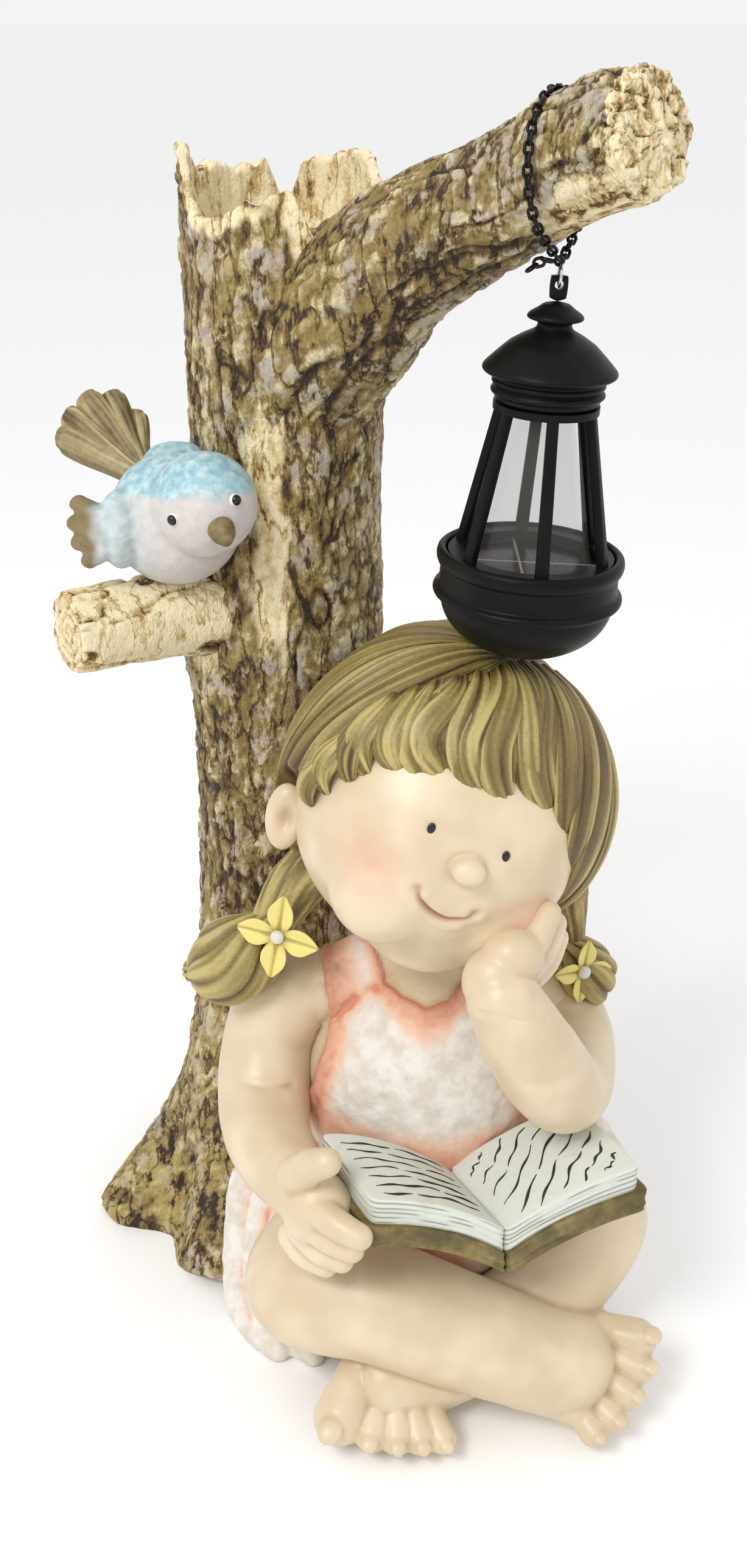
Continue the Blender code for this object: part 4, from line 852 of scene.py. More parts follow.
def hairPaint():
    paint = Paint("strawHair", 0.5, coat_weight=0.1, coat_roughness=0.4)
    fine = paint.grain(1.4, 3)
    value = paint.mark("relief") + (fine - 0.5) * 0.30 + (paint.grain(24, 2) - 0.5) * 0.30
    paint.set("Base Color", paint.ramp(value, (0.02, tone(66, 48, 20)), (0.26, tone(104, 84, 40)),
            (0.52, tone(134, 116, 62)), (0.85, tone(184, 168, 104))))
    paint.bump(fine, 0.25)
    return paint


straw = hairPaint()
straw.on(makeHair(hair), makeFringe(fringe), makeBunch("leftBunch", bunches["left"]),
        makeBunch("rightBunch", bunches["right"]), makeStrands())
print("hair made")


# Flowers in the hair

flowers = ({"centre": (-36, -60, 200.5), "facing": (-0.3, -0.92, 0.25), "size": 16.0, "turn": 84},
    {"centre": (82.5, -46, 175), "facing": (0.45, -0.88, 0.1), "size": 13.0, "turn": 80})


def makeFlowers(sprigs):
    # A petal is an egg, flattened and narrowed to a point, with its middle rib pressed in and its tip raised
    shells, veins, buttons = [], [], []
    for f in sprigs:
        out = unit(np.array(f["facing"]))
        side = unit(np.cross((0, 0, 1), out))
        pose = np.stack([side, np.cross(out, side), out], 1)
        for k in range(4):
            petal = pose @ turned("Z", f["turn"] + 90 * k)
            shell = egg((0, 0, 0), (0.54, 0.27, 0.09), rows=30, around=40)
            x, y, z = shell[..., 0], shell[..., 1], shell[..., 2]
            y = y * (0.75 + 0.45 * ease(x, -0.5, 0.0)) * (1 - 0.40 * ease(x, 0.15, 0.54))
            z = z + 0.24 * (x + 0.1) * np.abs(x + 0.1) + 1.2 * y * y - 0.05 * hump(y, 0.05)
            shells.append(np.array(f["centre"]) + grow((x + 0.50), y, z) * f["size"] @ petal.T)
            veins.append(ease(hump(y, 0.05) * 0.8 + 0.9 * hump(x + 0.5, 0.30) + 1.5 * y * y, 0.2, 1.0))
        buttons.append(egg(np.array(f["centre"]) + 1.4 * out, (2.7, 2.7, 2.2), pose, 15, 24))
    petals = cast(meshOf("petals", shells, {"vein": veins}))
    middles = cast(meshOf("flowerMiddles", buttons))
    paint = Paint("palePetal", 0.5)
    paint.set("Base Color", paint.mix(paint.mark("vein") * 0.8 + (paint.grain(5) - 0.5) * 0.3,
            tone(222, 208, 122), tone(158, 134, 58)))
    paint.on(petals)
    white = Paint("whiteDot", 0.45)
    white.set("Base Color", white.mix(white.grain(2), tone(228, 226, 218), tone(200, 196, 184)))
    white.on(middles)


makeFlowers(flowers)
print("flowers made")


# Body: arms and legs are rows of (x, y, z, radius)

limbs = {"rightArm": ((-19, -36, 164, 13), (-29, -35, 159, 17), (-37.5, -35, 150, 18.8),
        (-43, -39, 136, 18.8), (-44.5, -52, 121, 19.0), (-42, -72, 114, 17.4), (-34, -90, 113, 15),
        (-26, -104, 115, 13.2)),
    "leftArm": ((64, -32, 160, 14), (74, -33, 152, 16.5), (80, -46, 143, 17), (77, -70, 141, 17),
        (71, -88, 150, 16.5), (62, -99, 169, 17), (52, -103, 189, 15.5), (46, -103, 202, 13.4)),
    "frontLeg": ((8, -46, 62, 28), (-14, -70, 56, 27), (-27, -87, 50, 25.2), (0, -98, 52, 24.4),
        (31, -107, 46, 22.8), (58, -108.5, 35, 21.6), (76, -106.5, 27, 21.5)),
    "backLeg": ((46, -44, 64, 30), (74, -54, 68, 28), (90.5, -62.5, 62, 24.2), (73, -81, 41, 20.6),
        (42, -94.5, 26, 20), (20, -104, 21, 19), (6, -109, 19, 17.5))}
hands = {"rightPalm": (((-21, -111, 112), (13.5, 13, 15)),),
    "rightFingers": (((-29, -106, 123, 8), (-23.5, -114, 135, 6.8), (-17, -119.5, 142, 5.6)),
        ((-22, -116, 118, 6.2), (-13, -125, 117, 5.8), (-5, -129.5, 115.5, 5.0)),
        ((-24, -113, 109, 6.2), (-17, -122.5, 109, 5.8), (-8, -128, 108, 5.0)),
        ((-27, -110, 101, 6.2), (-20, -119, 99.5, 5.8), (-12, -124, 99, 5.0)),
        ((-31, -106, 94, 6.0), (-26, -113, 91.5, 5.5), (-18, -118.5, 91, 4.8))),
    "leftPalm": (((44, -99, 207), (13, 11.5, 13)), ((49.4, -96, 216), (11, 10, 10))),
    "leftFingers": (((50, -97, 214, 6.6), (57, -91, 219, 5.8), (62.5, -84.5, 226.5, 4.6)),
        ((53, -94, 208, 6.6), (60.5, -87, 212.5, 5.8), (65.5, -80, 219, 4.6)),
        ((54, -91, 202, 6.4), (62, -84, 205.5, 5.6), (67, -77, 211, 4.5))),
    "creases": ((((-60, -52, 131), (-46, -66, 133), (-28, -61, 132)), 1.6, 1.2),
        (((34, -112, 203), (46, -117, 204), (60, -111, 199)), 1.5, 0.9),
        (((62, -84, 171), (70, -98, 158), (84, -88, 150)), 1.5, 0.5))}
feet = {"frontToes": ((110, -102, 33, 8.4), (109, -110.5, 26, 7.2), (103.5, -118.5, 19.5, 6.8),
        (96, -125, 14, 6.5), (88, -130, 10.5, 6.0)),
    "frontHeart": (62, -88, 34),
    "frontFoot": (((70, -102, 30, 20), (91, -98, 30, 11.5)), ((70, -106, 26, 20), (87, -108, 22, 12.5)),
        ((66, -108, 24, 19), (80, -117, 17, 10.5))),
    "backToes": ((-15, -127, 12.5, 11.0), (-1, -131.2, 10, 7.6), (9.5, -132.4, 9.2, 7.2),
        (19, -132, 8.6, 6.8), (28, -131, 8.0, 6.2)),
    "backHeart": (6, -92, 34),
    "backFoot": (((4, -108, 18, 18), (-7, -117, 15, 10)), ((8, -108, 18, 18), (4, -119, 13, 10)),
        ((12, -108, 18, 17), (17, -119, 12, 9)))}


def toes(tips, heart):
    # A toe runs out along the line from the foot's middle to its tip, with a round end and a raised nail
    shells, nails = [], []
    heart, sky = np.array(heart, float), np.array([0, -0.45, 1.0])
    for x, y, z, size in tips:
        tip = np.array([x, y, z])
        way = unit(tip - heart)
        rows = [(*(tip - way * back * size), size * share) for back,
                share in ((3.0, 0.85), (1.7, 0.92), (0.4, 1.0))]
        shells.append(tube(rows, 14, 24)[0])
        up = unit(sky - way * (sky @ way))
        pose = np.stack([np.cross(up, way), way, up], 1)
        nails.append(egg(tip + 0.30 * size * way + 0.90 * size * up, np.array([0.48, 0.52, 0.20]) * size,
                pose, 15, 24))
    return shells, nails


def makeSkin():
    armShells = [tube(limbs[name], 60, 44)[0] for name in ("rightArm", "leftArm")]
    armShells += [egg(*palm) for side in ("right", "left") for palm in hands[side + "Palm"]]
    armShells += [tube(rows, 24, 24)[0] for side in ("right", "left") for rows in hands[side + "Fingers"]]
    legShells = [tube(limbs["frontLeg"], 70, 52)[0], tube(limbs["backLeg"], 70, 52)[0]]
    legShells += [tube(rows, 20, 36)[0] for side in ("front", "back") for rows in feet[side + "Foot"]]
    for side in ("front", "back"):
        bodies, nails = toes(feet[side + "Toes"], feet[side + "Heart"])
        legShells += bodies + nails
    made = []
    for name, shells in (("armSkin", armShells), ("legSkin", legShells)):
        obj = melted(name, shells, 0.9, 2)
        places, normals = readPoints(obj)
        push = 0.12 * noise(places, 8, 140)
        for points, width, depth in hands["creases"] if name == "armSkin" else ():
            push = push - depth * hump(toLine(places, through(points, 12))[0], width)
        places = places + normals * push[:, None] * (places[:, 2:] > 1)
        places[:, 2] = np.maximum(places[:, 2], 0.0)
        writePoints(obj, places)
        # Painted shade: darker where the surface lies below its neighbours, in creases and between fingers
        # and toes
        writeMark(obj, "crease", np.clip(creases(obj, 6) / 0.5, 0, 1) ** 0.8)
        writeMark(obj, "blush", 0.0 * push)
        writeMark(obj, "mouth", 0.0 * push)
        made.append(cast(obj))
    return made


arms, legs = makeSkin()
skin.on(arms, legs)
print("skin made")


# The dress

dress = {"torso": ((26, -34, 60, 48), (24, -38, 100, 47), (22, -38, 132, 43), (23, -37, 156, 30),
        (25, -33, 176, 17), (25, -31, 200, 16)),
    "shoulders": (((-28, -35, 158, 14.5), (-10, -36, 166, 14), (14, -32, 178, 14)),
        ((74, -34, 154, 14), (56, -36, 166, 14), (36, -32, 178, 14))),
    "chest": ((23, -37, 116), (52, 46, 61)),
    "seat": (((24, -28, 30), (70, 46, 48)), ((-24, -42, 18), (34, 35, 37))),
    "folds": (((-26, 0, 92, 9), (-52, -24, 56, 8), (-60, -42, 26, 6.5), (-57.5, -62, 6, 5.5),
            (-40, -80, 4.5, 5)),
        ((-18, -8, 92, 9), (-43, -34, 58, 8), (-50, -53, 28, 6), (-44, -70, 6, 5.5),
            (-26, -83, 4.5, 4.5)),
        ((-8, -14, 90, 9), (-34, -44, 54, 9), (-40, -62, 26, 7), (-31, -76, 6, 6))),
    "corner": ((78, -34, 94, 14), (97, -46, 76, 11), (101, -55, 50, 10), (85, -71, 34, 9)),
    "neckline": ((-14, -18), (-7, -24), (2, -45), (11, -56), (20, -61), (29, -58), (35, -50), (40, -42),
        (46, -24)),
    "armhole": ((100, -34), (112, -28), (135, -22), (148, -18.5), (157, -16.5), (166, -18.5), (178, -21))}


def makeDress(d):
    shells = [tube(d["torso"], 60, 64)[0], egg(*d["chest"], rows=50, around=70), tube(d["corner"], 40, 40)[0]]
    shells += [tube(rows, 40, 40)[0] for rows in d["shoulders"]]
    shells += [egg(*e, rows=40, around=60) for e in d["seat"]]
    shells += [tube(rows, 50, 32)[0] for rows in d["folds"]]
    obj = melted("bodyAndDress", shells, 1.2, 3)
    places, normals = readPoints(obj)
    x, y, z = places.T
    near = np.full(len(places), 60.0)
    for name in ("rightArm", "leftArm", "frontLeg"):
        for row in through(limbs[name], 40):
            near = np.minimum(near, np.linalg.norm(places - row[:3], axis=1) - row[3])
    near = np.maximum(near, 0)
    # Skin shows behind the neckline, a curve over the chest, and beside the armhole, a curve down the side
    wander = 0.6 * noise(places, 8, 151)
    neck = np.minimum(np.minimum(0.8 * (y - np.interp(x, *np.array(d["neckline"]).T)),
            np.minimum(x + 15, 46 - x)), z - 150) + wander
    arm = np.minimum(np.maximum(np.interp(z, *np.array(d["armhole"]).T) - x, x - 62), z - 104) + wander
    bare = np.maximum(neck, arm)
    cloth = ease(-bare, -0.5, 0.5)
    rough = layers(places, 4.5, 150, 3)
    skirt = ease(-z, -92, -74)
    pleat = np.sin(x / 4.2 + z / 13) * skirt
    piping = hump(bare + 1.9, 1.4)
    push = cloth * (0.5 + 0.42 * rough + 0.6 * pleat + 1.3 * piping) - 0.5 * hump(bare, 0.8)
    places = places + normals * (push * (z > 1))[:, None]
    places[:, 2] = np.maximum(places[:, 2], 0.0)
    writePoints(obj, places)
    hollow = np.clip(creases(obj, 6) / 0.5, 0, 1)
    belly = 0.85 * hump(z - 108, 17) * ease(-y, 55, 70)
    edge = np.maximum(np.maximum(0.8 * hump(near, 11), 0.9 * hump(np.minimum(bare, 0), 9)),
            np.maximum(belly, 0.15 * skirt)) + 0.7 * hollow
    writeMark(obj, "edge", np.clip(edge, 0, 1))
    writeMark(obj, "cloth", cloth)
    # Painted shade on the bare skin: in its hollows and beside the edge of the dress
    writeMark(obj, "crease", np.clip(hollow + hump(bare, 1.2), 0, 1))
    cast(obj)
    paint = Paint("pinkWash", 0.6)
    rub, wash = paint.grain(3, 6), paint.grain(18, 3)
    share = paint.mark("edge") + (rub - 0.5) * 0.35 + (wash - 0.5) * 0.35
    chalk = paint.mix(paint.grain(7, 5).band(0.35, 0.65), tone(212, 204, 192), tone(230, 225, 216))
    pink = paint.ramp(share, (0.30, tone(232, 206, 188)), (0.60, tone(232, 186, 160)),
            (0.95, tone(206, 138, 110)))
    coloured = paint.mix(share.band(0.15, 0.60), chalk, pink)
    # Painted shade: bare skin darkened in its hollows and beside the dress edge
    skinned = paint.mix(paint.mark("crease") * 0.3, tone(216, 197, 166), tone(170, 134, 92))
    paint.set("Base Color", paint.mix(paint.mark("cloth").band(0.3, 0.7), skinned, coloured))
    paint.bump(paint.grain(2.5, 4), 0.4)
    paint.on(obj)


makeDress(dress)
print("dress made")


# The book: each side is a slab that rises from the gutter and levels out

book = {"gutter": np.array([39.5, -103.0, 109.0]), "length": np.array([20.0, -38.0, 2.0]),
    "left": np.array([-50.0, -3.0, 0.0]), "right": np.array([50.0, 12.0, 8.0]), "rise": (19.0, 14.0),
    "pages": 11.5, "cover": 9.5, "lines": (7, 9)}


def pageTop(across, rise, share, along):
    # A page's surface: gutter + across * share + length * along, raised by a sine's power
    share = np.asarray(share, float)
    along = np.asarray(along, float)
    lift = rise * np.sin(0.5 * math.pi * np.clip(share, 0, 1)) ** 0.8 + 0.8 * np.sin(3 * share + 2 * along)
    flat = book["gutter"] + share[..., None] * across + along[..., None] * book["length"]
    return flat + grow(0 * share, 0 * share, lift)


def slab(across, rise, top, thick, wide, long, leaf, seed):
    # Rings in the slab's outline: out over the top face, down the edge with its leaves, and in under it
    run, flat = np.linspace(-1, 1, 48, endpoint=False), np.ones(48)
    edge = np.vstack([grow(run, -flat), grow(flat, run), grow(-run, flat), grow(-flat, -run)])
    edge = edge / (np.abs(edge) ** 16).sum(-1, keepdims=True) ** (1 / 16)
    scale = np.concatenate([np.linspace(0.03, 0.985, 26), np.ones(30), np.linspace(0.985, 0.03, 12)])[:, None]
    level = np.concatenate([np.zeros(26), np.linspace(0.02, 0.98, 30), np.ones(12)])[:, None]
    share, along = wide * 0.5 * (1 + edge[:, 0] * scale), long * 0.5 * edge[:, 1] * scale
    far = (scale > 0.999) * 1.0
    way = np.arange(len(edge))[None]
    groove = noise(grow(level * 7, way * 0.03, 0 * scale + seed), 1.0, 160)
    outward = ease(np.abs(edge), 0.93, 0.99) * np.sign(edge)
    place = pageTop(across, rise, share, along) - grow(0 * share, 0 * share, top + thick * level + 0 * share)
    outward = outward[:, :1] * unit(across) + outward[:, 1:] * unit(book["length"])
    place = place + (far * leaf * groove)[..., None] * outward
    broken = ease(noise(grow(level * 5, way * 0.11, 0 * scale + seed), 1.0, 161), -0.25, 0.15)
    wander = 0.3 * noise(grow(0 * level, way * 0.05, 0 * scale), 1.0, 162)
    dark = far * hump((level * 5 + wander) % 1 - 0.5, 0.13) * broken
    return place, dark


def makeBook(b):
    blocks, darks, covers, lines = [], [], [], []
    for k, (side, rise) in enumerate(zip(("left", "right"), b["rise"])):
        across = b[side]
        block, dark = slab(across, rise, 0.0, b["pages"], 1.0, 1.0, 0.4, 3.0 * k)
        blocks.append(block)
        darks.append(dark)
        covers.append(slab(across, rise, b["pages"] - 0.5, b["cover"], 1.06, 1.10, 0.6, 9.0)[0])
        # Rows of marks: strokes that wave and break, along the left page and slanting on the right
        for n in range(b["lines"][k]):
            t = (n + 0.5) / b["lines"][k]
            middle = np.array((0.50, -0.43 + 0.86 * t) if k == 0 else (0.10 + 0.80 * t, -0.38 + 0.76 * t))
            slant = np.array((1.0, 0.06) if k == 0 else (0.47, -0.52))
            room = np.minimum((0.95 - middle[0]) / slant[0], (middle[0] - 0.06) / slant[0])
            half = 0.92 * min(room, 9 if k == 0 else (0.46 - abs(middle[1])) / 0.52 + 0.12)
            cut = 0.35 * math.sin(2.3 * n + k)
            first, last = -1 + 0.12 * math.sin(5 * n) ** 2, 1 - 0.15 * math.sin(3 * n) ** 2
            for a, z in ((first, cut - 0.05), (cut + 0.05, last)):
                run = np.linspace(a, z, 24)
                wave = np.sin(run * 9 + 2.3 * n) + 1.2 * np.sin(run * 4 + n)
                place = middle + slant * half * run[:, None] + np.array((0.004, 0.010)) * wave[:, None]
                share, along = np.clip(place, (0.04, -0.47), (0.96, 0.47)).T
                place = pageTop(across, rise, share, along) + (0, 0, 0.12)
                thin = np.sin(math.pi * np.clip((run - a) / (z - a), 0.03, 0.97)) ** 0.4
                thin = thin * (0.50 + 0.12 * math.sin(7 * n + 9 * a)) * (0.85 + 0.25 * np.sin(run * 13 + n))
                lines.append(tube(np.column_stack([place, thin]), 60, 8, flat=0.5, cap=3)[0])
    pages = cast(meshOf("pages", blocks, {"dark": darks}))
    cover = cast(meshOf("bookCover", covers))
    writing = cast(meshOf("writing", lines))
    paper = Paint("paperWhite", 0.6)
    stain = paper.grain(14, 3)
    sheet = paper.mix(stain.band(0.55, 0.75) * 0.35, tone(210, 214, 204), tone(188, 182, 154))
    paper.set("Base Color", paper.mix(paper.mark("dark") * 0.85, sheet, tone(84, 76, 56)))
    paper.bump(paper.grain(3, 3), 0.25)
    paper.on(pages)
    board = Paint("oliveBoard", 0.55)
    board.set("Base Color", board.ramp(board.grain(9, 3), (0.32, tone(82, 70, 34)),
            (0.52, tone(112, 98, 54)), (0.70, tone(142, 126, 76))))
    board.bump(board.grain(3, 3), 0.4)
    board.on(cover)
    ink = Paint("inkBlack", 0.5)
    ink.set("Base Color", (*tone(34, 32, 30), 1))
    ink.on(writing)


makeBook(book)
print("book made")


# The bird on the stub

bird = {"body": ((-75.5, 17.5, 339.5), (25.5, 24.5, 25)),
    "head": ((-62.8, 3.8, 349.5), (19.8, 19.6, 19.4)),
    "wings": (((-95, 6, 339), (8.5, 12, 15)), ((-76, 33, 357), (13, 10, 8))),
    "beak": (-53.8, -17.5, 344.5),
    "beakRows": ((-3.0, 9, 1.5, 5.2), (-1.4, 4, 0.8, 5.0), (0, 0, 0, 4.3), (0.7, -2.2, -0.8, 2.8)),
    "eyes": ((-72.1, -12.8, 348.9), (-50.3, -9.6, 354.9)),
    "feathers": ((-109.5, 6, 349), (-111.5, 5, 342), (-110.5, 4, 334.5), (-107, 3, 328)),
    "tailRoot": (-90, 30, 353),
    "tailTips": ((-121.5, 43, 364), (-118, 44, 372), (-111, 45, 378.5), (-102, 45.5, 379),
        (-94, 45, 372))}


def makeBird(b):
    shells = [egg(*b["body"], rows=40, around=50),
            egg(*b["head"], rows=40, around=50)] + [egg(*w, rows=30, around=36) for w in b["wings"]]
    for tip in b["feathers"]:
        root = 0.55 * np.array(b["wings"][0][0]) + 0.45 * np.array(tip) - (0, 4, 0)
        shells.append(tube([(*root, 6.0), (*(0.5 * (root + tip)), 5.4), (*tip, 4.0)], 20, 24, flat=0.8)[0])
    obj = melted("birdBody", shells, 0.9, 2)
    places, normals = readPoints(obj)
    wing = np.clip(sum(hump(np.linalg.norm((places - np.array(m)) / r, axis=1), 1.15) for m,
            r in b["wings"]), 0, 1)
    tip = ease(-places[:, 0] + 1.5 * noise(places, 4, 185), 100, 106)
    barbs = noise(places * (0.35, 1, 1), 2.6, 180) * np.clip(wing + tip, 0, 1)
    writePoints(obj, places + normals * (0.5 * barbs + 0.15 * noise(places, 4, 181))[:, None])
    middle = np.array(b["head"][0])
    crown = ease((places - middle) @ unit(np.array([-0.05, 0.15, 1.0])) + 2 * noise(places, 7, 183), 2, 8)
    back = (places - np.array(b["body"][0])) @ unit(np.array([-0.6, 0.6, 0.55]))
    back = ease(back + 2 * noise(places, 7, 184), 3, 12)
    writeMark(obj, "blue", np.clip(np.maximum(crown, np.maximum(0.8 * back, wing)), 0, 1))
    writeMark(obj, "brown", tip)
    # Painted shade: a mark for the hollows between the feathers
    writeMark(obj, "crease", np.clip(creases(obj, 5) / 0.4, 0, 1))
    cast(obj)
    feathers, shares = [], []
    for k, end in enumerate(b["tailTips"]):
        start, end = np.array(b["tailRoot"], float) + (0, 0.6 * k, 0.8 * k - 1.6), np.array(end, float)
        rows = [(*(start + (end - start) * share), size) for share,
                size in ((0, 4.8), (0.35, 5.2), (0.7, 6.4), (0.92, 6.4), (1.0, 5.0))]
        shell, out, s = tube(rows, 60, 60, flat=0.5, side=(0, 1, 0.3), cap=6)
        shell, relief = ridged(shell, out, s, 18, 0.6, 2.0 * k, 0.2)
        feathers.append(shell)
        shares.append(relief - 0.05)
    shell, out, s = tube(np.array(b["beakRows"]) + (*b["beak"], 0), 30, 36)
    feathers.append(shell)
    shares.append(0.25 + 0.2 * noise(shell, 3, 182))
    tail = cast(meshOf("tailAndBeak", feathers, {"relief": shares}))
    tan = Paint("tanFeather", 0.55)
    tan.set("Base Color", tan.ramp(tan.mark("relief") + (tan.grain(3, 4) - 0.5) * 0.6,
            (0.05, tone(84, 68, 38)), (0.45, tone(140, 122, 80)), (0.95, tone(190, 176, 134))))
    tan.on(tail)
    whites, pupils = [], []
    for place in b["eyes"]:
        place = np.array(place, float)
        out = unit(place - middle)
        whites.append(egg(place - 0.3 * out, (2.6, 2.6, 2.6), rows=16, around=24))
        pupils.append(egg(place + 0.7 * out, (2.1, 2.1, 2.1), rows=16, around=24))
    white, pupil = meshOf("birdEyeRings", whites), meshOf("birdPupils", pupils)
    cast(white)
    black.on(cast(pupil))
    pale = Paint("paleDown", 0.5)
    rub = pale.grain(4, 5)
    down = pale.mix(rub, tone(186, 178, 176), tone(222, 216, 210))
    blue = pale.ramp(rub, (0.35, tone(128, 172, 186)), (0.50, tone(160, 196, 204)),
            (0.66, tone(198, 216, 214)))
    feather = pale.mix(pale.mark("blue") * 1.0 + (rub - 0.5) * 0.5, down, blue)
    brown = pale.mix(pale.mark("brown"), feather, pale.mix(rub, tone(92, 76, 42), tone(150, 132, 86)))
    # Painted shade: grey in the hollows
    pale.set("Base Color", pale.mix(pale.mark("crease") * 0.45, brown, tone(112, 108, 98)))
    pale.bump(rub, 0.35)
    pale.on(obj)
    ring = Paint("eyeRing", 0.4)
    ring.set("Base Color", (*tone(226, 222, 214), 1))
    ring.on(white)


makeBird(bird)
print("bird made")


# The lantern, worked out upright from the bowl's lowest point and then hung

lantern = {"hang": np.array([59.0, -45.0, 441.9]), "drop": 130.9, "lean": 3.0, "turn": 32.4, "posts": 6,
    "bowlRadius": 30.0, "bowlDepth": 20.2,
    "wall": ((30.4, 20.6), (32.2, 20.8), (33.0, 22.0), (32.6, 23.4), (31.2, 24.2), (30.9, 25.0),
        (30.7, 30.6), (30.9, 31.6), (31.9, 32.4), (32.4, 34.6), (32.0, 36.6), (30.6, 37.5), (29.6, 37.3),
        (29.0, 36.2), (29.0, 31.5), (0.0, 31.5)),
    "panel": ((0.0, 31.8), (28.6, 31.8), (28.6, 33.4), (0.0, 33.4)), "roofBase": 88.0,
    "roof": ((0.0, 0.0), (16.6, 0.0), (17.4, 0.8), (17.4, 1.8), (18.7, 2.6), (18.9, 3.6), (18.0, 4.6),
        (17.5, 5.0), (18.6, 5.6), (18.8, 6.6), (18.0, 7.4), (18.4, 8.2), (21.2, 8.9), (22.25, 9.8),
        (22.0, 10.9), (20.6, 12.4), (18.0, 15.0), (14.2, 18.6), (10.0, 21.2), (6.6, 22.9), (5.7, 23.8),
        (5.5, 25.0), (6.6, 25.8), (9.0, 26.3), (9.25, 27.2), (8.3, 28.2), (6.0, 29.6), (4.2, 31.0),
        (0.0, 31.9)),
    "foot": {"radius": 26.4, "z": 34.2, "width": 2.3}, "top": {"radius": 15.3, "z": 87.6, "width": 1.85},
    "postDepth": 1.7, "rings": ((23.0, 28.5, 33.9, 36.4), (12.2, 17.6, 85.2, 87.6)),
    "tab": {"z": 124.9, "hole": 1.45, "size": 2.85, "thick": 1.4},
    "wire": {"z": 127.6, "radius": 3.3, "thick": 1.0}, "cell": (0.05, -0.047)}


def hung(points):
    return lantern["hang"] + (points - (0, 0, lantern["drop"])) @ turned("Y", lantern["lean"]).T


def makeLantern(p):
    # Base, panel and roof are profiles spun round the axis, the bowl being a quarter circle
    turn = np.radians(np.arange(-90, 1, 6))
    bowl = grow(p["bowlRadius"] * np.cos(turn), p["bowlDepth"] * (1 + np.sin(turn)))
    profiles = {"lantern_base": (np.vstack([bowl, p["wall"]]), 120), "solar_panel": (p["panel"], 96),
                "lantern_roof": (np.array(p["roof"]) + (0, p["roofBase"]), 120)}
    made = []
    for node, (profile, around) in profiles.items():
        name = node.replace("lantern_", "") + "Skin"
        slot = "solar_cell" if node == "solar_panel" else "satin_black"
        made.append(placed(meshOf(name, [hung(lathe(profile, around))], sharp=35), slot, node))
    # The tab: a flat plate with a hole, as rings from the hole's edge over the face, round the rim and back
    a = turns(40)
    size, hole, thick = p["tab"]["size"], p["tab"]["hole"], p["tab"]["thick"]
    square = size / np.maximum(np.abs(np.cos(a)), np.abs(np.sin(a))) ** 0.75
    tab = []
    for share, y in ((0.0, -thick), (0.75, -thick), (1.0, 0.4 - thick), (1.0, thick - 0.4), (0.75, thick),
            (0.0, thick)):
        x = (hole * (1 - share) + share * square) * np.cos(a)
        up = (hole * (1 - share) + share * square) * np.sin(a) - share * 2.0 * np.maximum(-np.sin(a), 0)
        tab.append(grow(x, 0 * a + y, p["tab"]["z"] + up))
    made.append(placed(meshOf("hangingTab", [hung(np.array(tab))], ring=True, sharp=40), "satin_black",
            "lantern_roof"))
    # Posts: rounded squares that narrow from foot to top
    u = turns(28)
    block = 1 / (np.abs(np.cos(u)) ** 5 + np.abs(np.sin(u)) ** 5) ** 0.2
    share = np.linspace(0, 1, 12)[:, None]
    radius, z, width = (p["foot"][key] + (p["top"][key] - p["foot"][key]) * share
            for key in ("radius", "z", "width"))
    post = grow(radius + p["postDepth"] * block * np.cos(u), width * block * np.sin(u), z + 0 * u)
    posts = [hung(post @ turned("Z", 360 / p["posts"] * k + p["turn"]).T) for k in range(p["posts"])]
    rings = []
    for inner, outer, low, high in p["rings"]:
        ring = lathe([(inner, low), (outer, low), (outer, high), (inner, high)], 96, 0)
        rings.append(np.vstack([hung(ring), hung(ring[:1])]))
    made.append(placed(meshOf("cageSkin", posts, sharp=40), "satin_black", "lantern_cage"))
    made.append(placed(meshOf("cageRings", rings, ring=True, weld=True, sharp=40), "satin_black",
            "lantern_cage"))
    satin = Paint("satinBlack", 0.36, specular_ior_level=0.14)
    dust = satin.grain(22, 4)
    satin.set("Base Color", satin.mix(dust.band(0.45, 0.75), tone(11, 11, 11), tone(18, 19, 19)))
    satin.set("Roughness", 0.30 + dust * 0.22)
    satin.bump(satin.grain(0.9, 2), 0.02)
    satin.on(*made)
    # The panel: dark cells, parted by two fine pale lines that cross
    cell = Paint("solarCell", 0.2, specular_ior_level=0.2)
    grid = []
    for axis, middle, wide in ((1, p["cell"][1], 0.0007), (0, p["cell"][0], 0.0006)):
        at = cell.node("ShaderNodeSeparateXYZ", values={0: cell.place()}, out=axis)
        grid.append(cell.node("ShaderNodeMath", {"operation": "ABSOLUTE"}, {0: at - middle}).band(0.0003,
                wide))
    dark = cell.mix(cell.grain(6), tone(22, 14, 16), tone(44, 28, 28))
    cell.set("Base Color", cell.mix((1 - grid[0] * grid[1]) * 0.7, dark, tone(190, 186, 176)))
    cell.on(made[1])
    turn = turns(60)
    wire = p["wire"]
    circle = hung(grow(0, wire["radius"] * np.cos(turn), wire["z"] + wire["radius"] * np.sin(turn)))
    square = unit(hung(np.array([1.0, 0, 0])) - hung(np.zeros(3)))
    ring = placed(meshOf("wireRing", [loop(circle, square, wire["thick"], 14)], ring=True), "steel_wire",
            "hanging_ring")
    steel = Paint("brightWire", 0.25, metallic=1.0)
    steel.set("Base Color", steel.mix(steel.grain(3), tone(190, 190, 188), tone(216, 216, 214)))
    steel.on(ring)
    glass = Paint("clearPane", 0.05, alpha=0.13, specular_ior_level=0.12)
    glass.set("Base Color", (*tone(120, 122, 116), 1))
    glass.on(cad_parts["lantern_glass"])


makeLantern(lantern)
print("lantern made")


# The chain: links that lie on the branch, a link that holds the wire ring, and a tail

chain = {"turn": 60.0, "slant": 0.09, "rise": 28.0, "radius": 22.6, "apex": 27.6, "pitch": 3.1,
    "length": 5.0, "width": 3.6, "wire": 1.1, "tail": 3}


